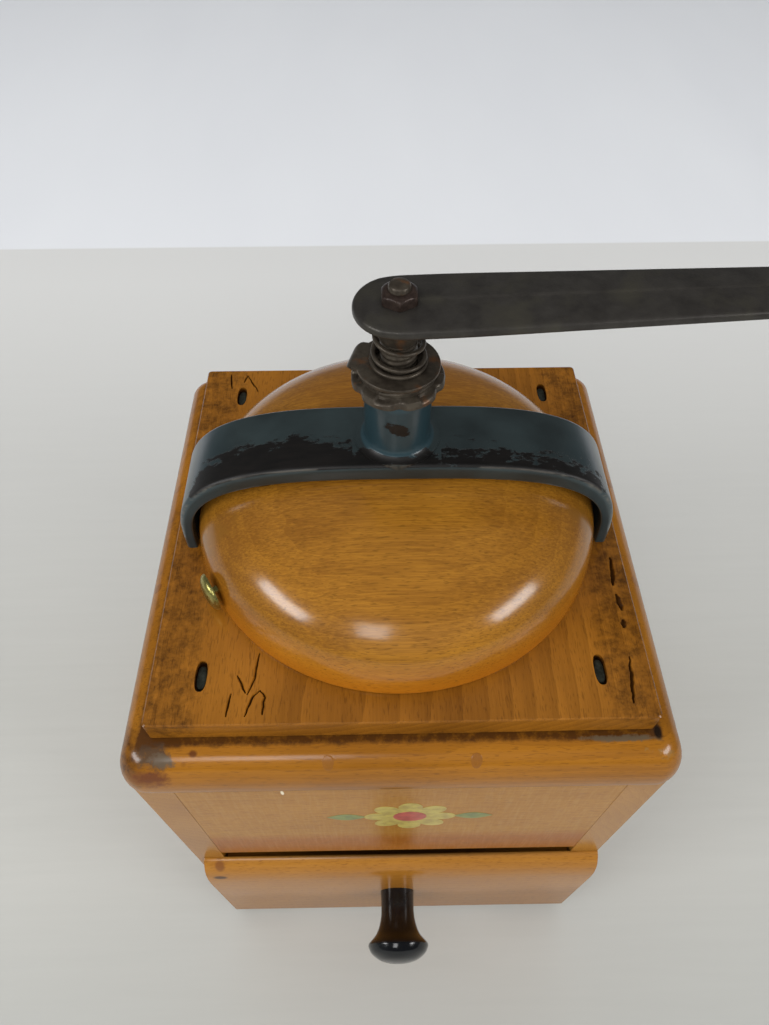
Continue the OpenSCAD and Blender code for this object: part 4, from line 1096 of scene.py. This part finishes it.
coil_turns, coil_rise, coil_wide = np.array(COIL).T
turns = np.linspace(0, coil_turns[-1], COIL_STEPS)
wide, rise = (averaged(np.interp(turns, coil_turns, line), COIL_EVEN) for line in (coil_wide, coil_rise))
rise = (rise - rise[0]) / (rise[-1] - rise[0])
free_length = spring_high[2] - spring_low[2]
coil_z = spring_low[2] + WIRE_R + (free_length - 2 * WIRE_R) * rise
spring = tube("crank_coil", ring(wide, coil_z, -2 * np.pi * (turns - 0.75) - np.pi / 2), WIRE_R)
finish(spring, patina_steel, "worn_steel", "drive", "crank_spring")
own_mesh(spring)

# %% [markdown]
# The shaft is one steel rod. Its upper part carries a fine thread for the adjusting nut, of which a
# few turns show inside the spring, under a smooth collar below the crank. The thread is a small wave
# in the radius that moves round by one turn for each pitch of height.

# %% Shaft
arm_low, arm_high = span("crank_arm")
SHAFT_R, SHAFT_EASE = 3.5, 0.5
COLLAR_R, COLLAR_H = 3.75, 5.6
THREAD_PITCH, THREAD_DEEP = 1.2, 0.28
STUB_R = 2


def shaft_grid(count=40):
    """Rows up the rod: the radius loses a saw wave of height minus angle inside the thread."""
    angle = full_turn(count)
    collar, seat, top = arm_low[2] - COLLAR_H, arm_low[2] - 0.1, shaft_high[2]
    thread = boss_top - 6
    plain = np.linspace(shaft_low[2] + SHAFT_EASE, thread, 12)
    levels = np.concatenate([plain, np.arange(thread, collar, THREAD_PITCH / 9)[1:]])[:, None]
    wave = np.abs(((levels / THREAD_PITCH - angle / (2 * np.pi)) % 1) - 0.5) * 2
    radius = SHAFT_R - THREAD_DEEP * wave * ramp(levels, thread, boss_top - 4)
    foot = [(0, shaft_low[2]), (SHAFT_R - SHAFT_EASE, shaft_low[2])]
    head = [(SHAFT_R, collar + 0.1), (COLLAR_R - 0.15, collar + 0.1), (COLLAR_R, collar + 0.3),
            (COLLAR_R, seat), (STUB_R, seat), (STUB_R, top - 0.7), (STUB_R * 0.85, top - 0.25),
            (STUB_R * 0.5, top - 0.05), (0, top)]
    return np.concatenate([swung(foot, angle), ring(radius, levels, angle), swung(head, angle)])


shaft = surface("threaded_shaft", shaft_grid(), sharp=60)
finish(shaft, patina_steel, "worn_steel", "drive", "drive_shaft")

# %% [markdown]
# The crank arm is forged flat bar: a round eye over the shaft, a slight waist, then a long taper to
# the grip. Its outline is drawn once and shrunk inwards along a small quarter round, so every edge is
# soft. The top is slightly crowned: the rows over it move towards the arm's middle line and rise.

# %% Crank arm and nut
CRANK_TURN, CRANK_L = math.radians(2.6), 122
EYE_R, TIP_R = 8.3, 6
# Distance from the shaft and half width of the bar, in mm
BAR = [(0, 8.3), (9, 8.3), (15, 8.18), (27, 7.8), (65, 6.7), (118, 5.2), (122, 5.2)]
ARM_ROUND, ARM_EASE, CROWN = 0.9, 0.5, 0.45


def arm_outline(count=150):
    """Right half from the eye round to the tip, mirrored: the half width is the larger of the eye's
    circle, the tapering bar and the tip's circle, smoothed along its length."""
    place = (CRANK_L + TIP_R + EYE_R) * (1 - np.cos(np.linspace(0, np.pi, 2400))) / 2 - EYE_R
    eye = np.sqrt(np.clip(EYE_R ** 2 - place ** 2, 0, None))
    tip = np.sqrt(np.clip(TIP_R ** 2 - (place - CRANK_L) ** 2, 0, None))
    bar = np.interp(place, *zip(*BAR)) * ((place > 0) & (place < CRANK_L))
    wide = np.maximum(np.maximum(eye, tip), bar)
    core = (place > -3) & (place < CRANK_L + 2)
    wide = np.where(core, averaged(wide, 121), wide)
    line = respaced(np.column_stack([place, wide]), count)
    line[0, 1] = line[-1, 1] = 0
    return np.concatenate([line[:-1], (line * [1, -1])[::-1][:-1]])


def arm_grid():
    """Loops from the under side's middle line out, round the edge and back over the crowned top."""
    line = arm_outline()
    ahead = np.roll(line, -1, 0) - np.roll(line, 1, 0)
    inward = unit(np.column_stack([ahead[:, 1], -ahead[:, 0]]))
    spine = np.column_stack([np.clip(line[:, 0], 0, CRANK_L), np.zeros(len(line))])
    thick = arm_high[2] - arm_low[2]
    a = np.linspace(0, np.pi / 2, 7)
    inset = np.concatenate([ARM_EASE * (1 - np.sin(a)), ARM_ROUND * (1 - np.cos(a))])
    height = np.concatenate([ARM_EASE * (1 - np.cos(a)), thick - CROWN - ARM_ROUND * (1 - np.sin(a))])
    rows = rows_between(spine, line + inward * ARM_EASE, (0, 0.5), 0)
    rows += [raised(line + inward * i, h) for i, h in zip(inset, height)]
    shares = np.linspace(0, 1, 10)[1:]
    rows += rows_between(line + inward * ARM_ROUND, spine, shares, thick - CROWN * (1 - shares) ** 2)
    return turned(np.array(rows) + [0, 0, arm_low[2]], CRANK_TURN)


arm = surface("crank_bar", arm_grid(), wrap_rows=True, sharp=50)
finish(arm, dark_steel, "dark_steel", "drive", "crank_arm")

crank_nut_low, crank_nut_high = span("crank_nut")
HEX_FLATS = 6.2
# Share of the nut's height, and the largest radius there in mm
HEX_CROWN = [(0, 3.4), (0.08, 3.6), (0.5, 3.6), (0.64, 3.45), (0.76, 3.25), (0.86, 2.98), (0.94, 2.7),
             (1.0, 2.4), (1.0, 2.05), (0, 2.05)]


def hex_grid(count=144):
    """Six-sided wall under a turned crown: at each level the radius is the smaller of the hexagon
    and the crown's circle."""
    angle = full_turn(count)
    hexagon = HEX_FLATS / 2 / np.cos((angle + np.pi / 6) % (np.pi / 3) - np.pi / 6)
    share, radius = np.array(HEX_CROWN).T[..., None]
    height = crank_nut_low[2] + share * (crank_nut_high[2] - crank_nut_low[2])
    return ring(np.minimum(hexagon, radius), height, angle)


hex_nut = surface("hex_nut", hex_grid(), wrap_rows=True, sharp=45)
finish(hex_nut, rust_steel, "rusty_steel", "drive", "crank_nut")

# %% [markdown]
# The grip is turned beech on a riveted steel pin, with a washer under and over it. It has a narrow
# foot with a small bead, a full belly and a rounded head.

# %% Grip, pin and washers
grip_low, grip_high = span("grip")
pin_low, pin_high = span("grip_pin")
washer_low, washer_high = span("grip_washers")
PIN_R, PIN_FREE = 2.3, 0.06
WASHER_R, WASHER_T, WASHER_HOLE = 5, 1, 2.35
# Radius and height as shares of the grip's own
GRIP_SHAPE = [(0.50, 0.0), (0.54, 0.015), (0.555, 0.05), (0.53, 0.08), (0.515, 0.1), (0.55, 0.14),
              (0.68, 0.25), (0.82, 0.38), (0.93, 0.52), (0.995, 0.66), (0.995, 0.76), (0.93, 0.87),
              (0.8, 0.945), (0.62, 0.985), (0.45, 1.0)]


def on_grip(height):
    """The point of the grip's axis at a height."""
    return ring(CRANK_L, height, CRANK_TURN)


grip_h, pin_h = grip_high[2] - grip_low[2], pin_high[2] - pin_low[2]
belly = smooth_line(GRIP_SHAPE, 6) * [(grip_high[0] - grip_low[0]) / 2, grip_h]
grip_bore = [(PIN_R + PIN_FREE, grip_h), (PIN_R + PIN_FREE, 0)]
grip = lathe("turned_grip", np.concatenate([belly, grip_bore]), on_grip(grip_low[2]), 72, hollow=True)
finish(grip, grip_beech, "beech_dome", "grip", "grip")
rivet = [(0, 0), (PIN_R, 0), (PIN_R + 1.1, 0.5), (PIN_R + 1.35, 1.1), (PIN_R, 1.2),
         (PIN_R, pin_h - 1.2), (PIN_R + 1.35, pin_h - 1.1), (PIN_R + 1.0, pin_h - 0.45),
         (PIN_R * 0.7, pin_h - 0.05), (0, pin_h)]
pin = lathe("grip_rivet", rivet, on_grip(pin_low[2]), 48)
finish(pin, dark_steel, "dark_steel", "drive", "grip_pin")
washer = eased([(WASHER_HOLE, 0), (WASHER_R, 0), (WASHER_R, WASHER_T), (WASHER_HOLE, WASHER_T)], 0.2)
levels = (washer_low[2], washer_high[2] - WASHER_T)
washers = [lathe("washer", washer, on_grip(level), 48, hollow=True) for level in levels]
finish(join_pieces("grip_rings", washers), dark_steel, "dark_steel", "drive", "grip_washers")

# %% [markdown]
# The drawer front overlaps its opening. Its upper edge is planed to a long rounding that runs
# straight across, so the section is drawn once and carried along the front. The tongue behind it
# fits the bay. The knob is turned, dipped in black lacquer, and screwed on from inside.

# %% Drawer front and knob
front_low, front_high = span("drawer_front")
side_low, side_high = span("drawer_left_side")
LIP_T, TONGUE_T, OVERLAP = 4.5, 6, 0.1
# Depth under the lip's top and distance from its back, in mm: steep at once, then slowly fuller
LIP_LINE = [(0, 0), (0.05, 0.35), (0.2, 0.7), (0.5, 1.15), (1.2, 1.85), (2.4, 2.7), (4, 3.4), (6, 3.9),
            (8.5, 4.25), (11.5, 4.43), (15, 4.5)]
# Distance from the lip's end in mm, and the section's size there: the end corners are eased
LIP_ENDS = [(0, 0.988), (0.15, 0.996), (0.5, 1), (4, 1)]
face_y, back_y = front_low[1], front_low[1] + LIP_T


def lip_section():
    """Outline in (y, z): straight face, a long rounding on top, flat back, eased lower edges."""
    down, out = smooth_line(LIP_LINE, 4).T
    foot = front_low[2]
    return np.concatenate([[(back_y, foot + 0.4)], np.column_stack([back_y - out, front_high[2] - down]),
                           [(face_y, foot + 0.8), (face_y + 0.2, foot + 0.25),
                            (face_y + 0.7, foot), (back_y - 0.4, foot)]])


def lip_grid():
    """The section carried along X; its last stations shrink a little to ease the end corners."""
    section = lip_section()
    end, size = np.array(LIP_ENDS).T
    middle_part = np.linspace(front_low[0] + 4, front_high[0] - 4, 12)[1:-1]
    place = np.concatenate([front_low[0] + end, middle_part, front_high[0] - end[::-1]])
    shrink = np.concatenate([size, np.ones(len(middle_part)), size[::-1]])[:, None, None]
    flat = section.mean(0) + (section[None] - section.mean(0)) * shrink
    return np.concatenate([np.broadcast_to(place[:, None, None], (*flat.shape[:2], 1)), flat], -1)


lip = surface("drawer_face", lip_grid())
tongue = edge_loop(-side_low[0], TONGUE_T / 2, 0.3, 2, 3) + [0, back_y + TONGUE_T / 2 - OVERLAP]
join_shapes(lip, prism("tongue", tongue, side_low[2], side_high[2]), "UNION")
finish(lip, plain_beech, "beech_box", "drawer", "drawer_front")

knob_low, knob_high = span("drawer_knob")
knob_r, knob_l = (knob_high[0] - knob_low[0]) / 2, knob_high[1] - knob_low[1]
knob_seat = [(knob_low[0] + knob_high[0]) / 2, knob_high[1], (knob_low[2] + knob_high[2]) / 2]
NECK_R = 5.15
# Radius and share of the knob's length
KNOB_SHAPE = [(NECK_R, 0.0), (NECK_R * 0.985, 0.12), (NECK_R * 0.98, 0.3), (NECK_R * 1.06, 0.45),
              (NECK_R * 1.28, 0.6), (knob_r * 0.95, 0.71), (knob_r, 0.75), (knob_r * 0.985, 0.79),
              (knob_r * 0.88, 0.87), (knob_r * 0.62, 0.95), (knob_r * 0.3, 0.99), (0, 1.0)]
knob_line = np.maximum(smooth_line(np.array(KNOB_SHAPE) * [1, knob_l], 6), 0)
knob = lathe("knob", np.concatenate([[(0, 0)], knob_line]), knob_seat, 72,
             turn=Matrix.Rotation(math.pi / 2, 3, "X"), sharp=60)
finish(knob, knob_lacquer, "black_lacquer", "drawer", "drawer_knob")

# %% [markdown]
# What lies inside is plain in shape and already right as packed, so these solids only get their
# finish: cast iron housing and bridge, hardened burrs, screws, nails, washers and the tinned funnel.

# %% Finishes of the carried-over solids
CARRIED = [
    (tinned_sheet, ["hopper_funnel"]),
    (dark_steel, ["strap_washers"]),
    (cast_iron, ["burr_housing", "lower_bridge"]),
    (burr_steel, ["outer_burr", "inner_burr"]),
    (nail_steel, ["housing_screws", "burr_pin", "bridge_screws", "base_nails", "plate_nails",
                  "drawer_nails", "knob_screw"]),
]
for material, carried in CARRIED:
    for place in [place for node in carried for place in nodes[node].material_slots]:
        place.link = "OBJECT"
        place.material = material
print("carried over:", sum(len(carried) for material, carried in CARRIED))

# %% [markdown]
# The mill stands on a pale table cloth. A wide plane catches its shadow. The cloth is painted darker
# towards the front and lighter towards the back: painted shade and painted light. Beyond a straight
# line behind the mill the cloth is whiter.

# %% Floor
CLOTH_LINE, CLOTH_HALF, CLOTH_Z = 0.341, 3.0, -0.0002
material, tree, shader = start_material("pale_cloth")
depth = coordinate(tree, "Y")
near = blend_colour(tree, grain_noise(tree, (18, 260, 1), detail=3.0), "B9B9B4", "C0C0BB")
# Painted shade: the cloth darkens towards the front.
near = blend_colour(tree, step_between(tree, depth, -0.17, -0.05), "A2A4A0", near)
# Painted light: the cloth brightens towards the back.
near = blend_colour(tree, step_between(tree, depth, 0.02, 0.3), near, "D9D9D7")
far = blend_colour(tree, grain_noise(tree, (9, 3, 1), detail=2.0), "E4E6EA", "ECEEF1")
tone = blend_colour(tree, step_between(tree, depth, CLOTH_LINE - MM, CLOTH_LINE + MM), near, far)
set_shader(tree, shader, Base_Color=tone, Roughness=0.9)
mesh = bpy.data.meshes.new("table_cloth")
corners = [(sx * CLOTH_HALF, sy * CLOTH_HALF, 0) for sx, sy in ((-1, -1), (1, -1), (1, 1), (-1, 1))]
mesh.from_pydata(corners, [], [(0, 1, 2, 3)])
floor = new_object("table_cloth", mesh)
floor.location.z = CLOTH_Z
floor.data.materials.append(material)
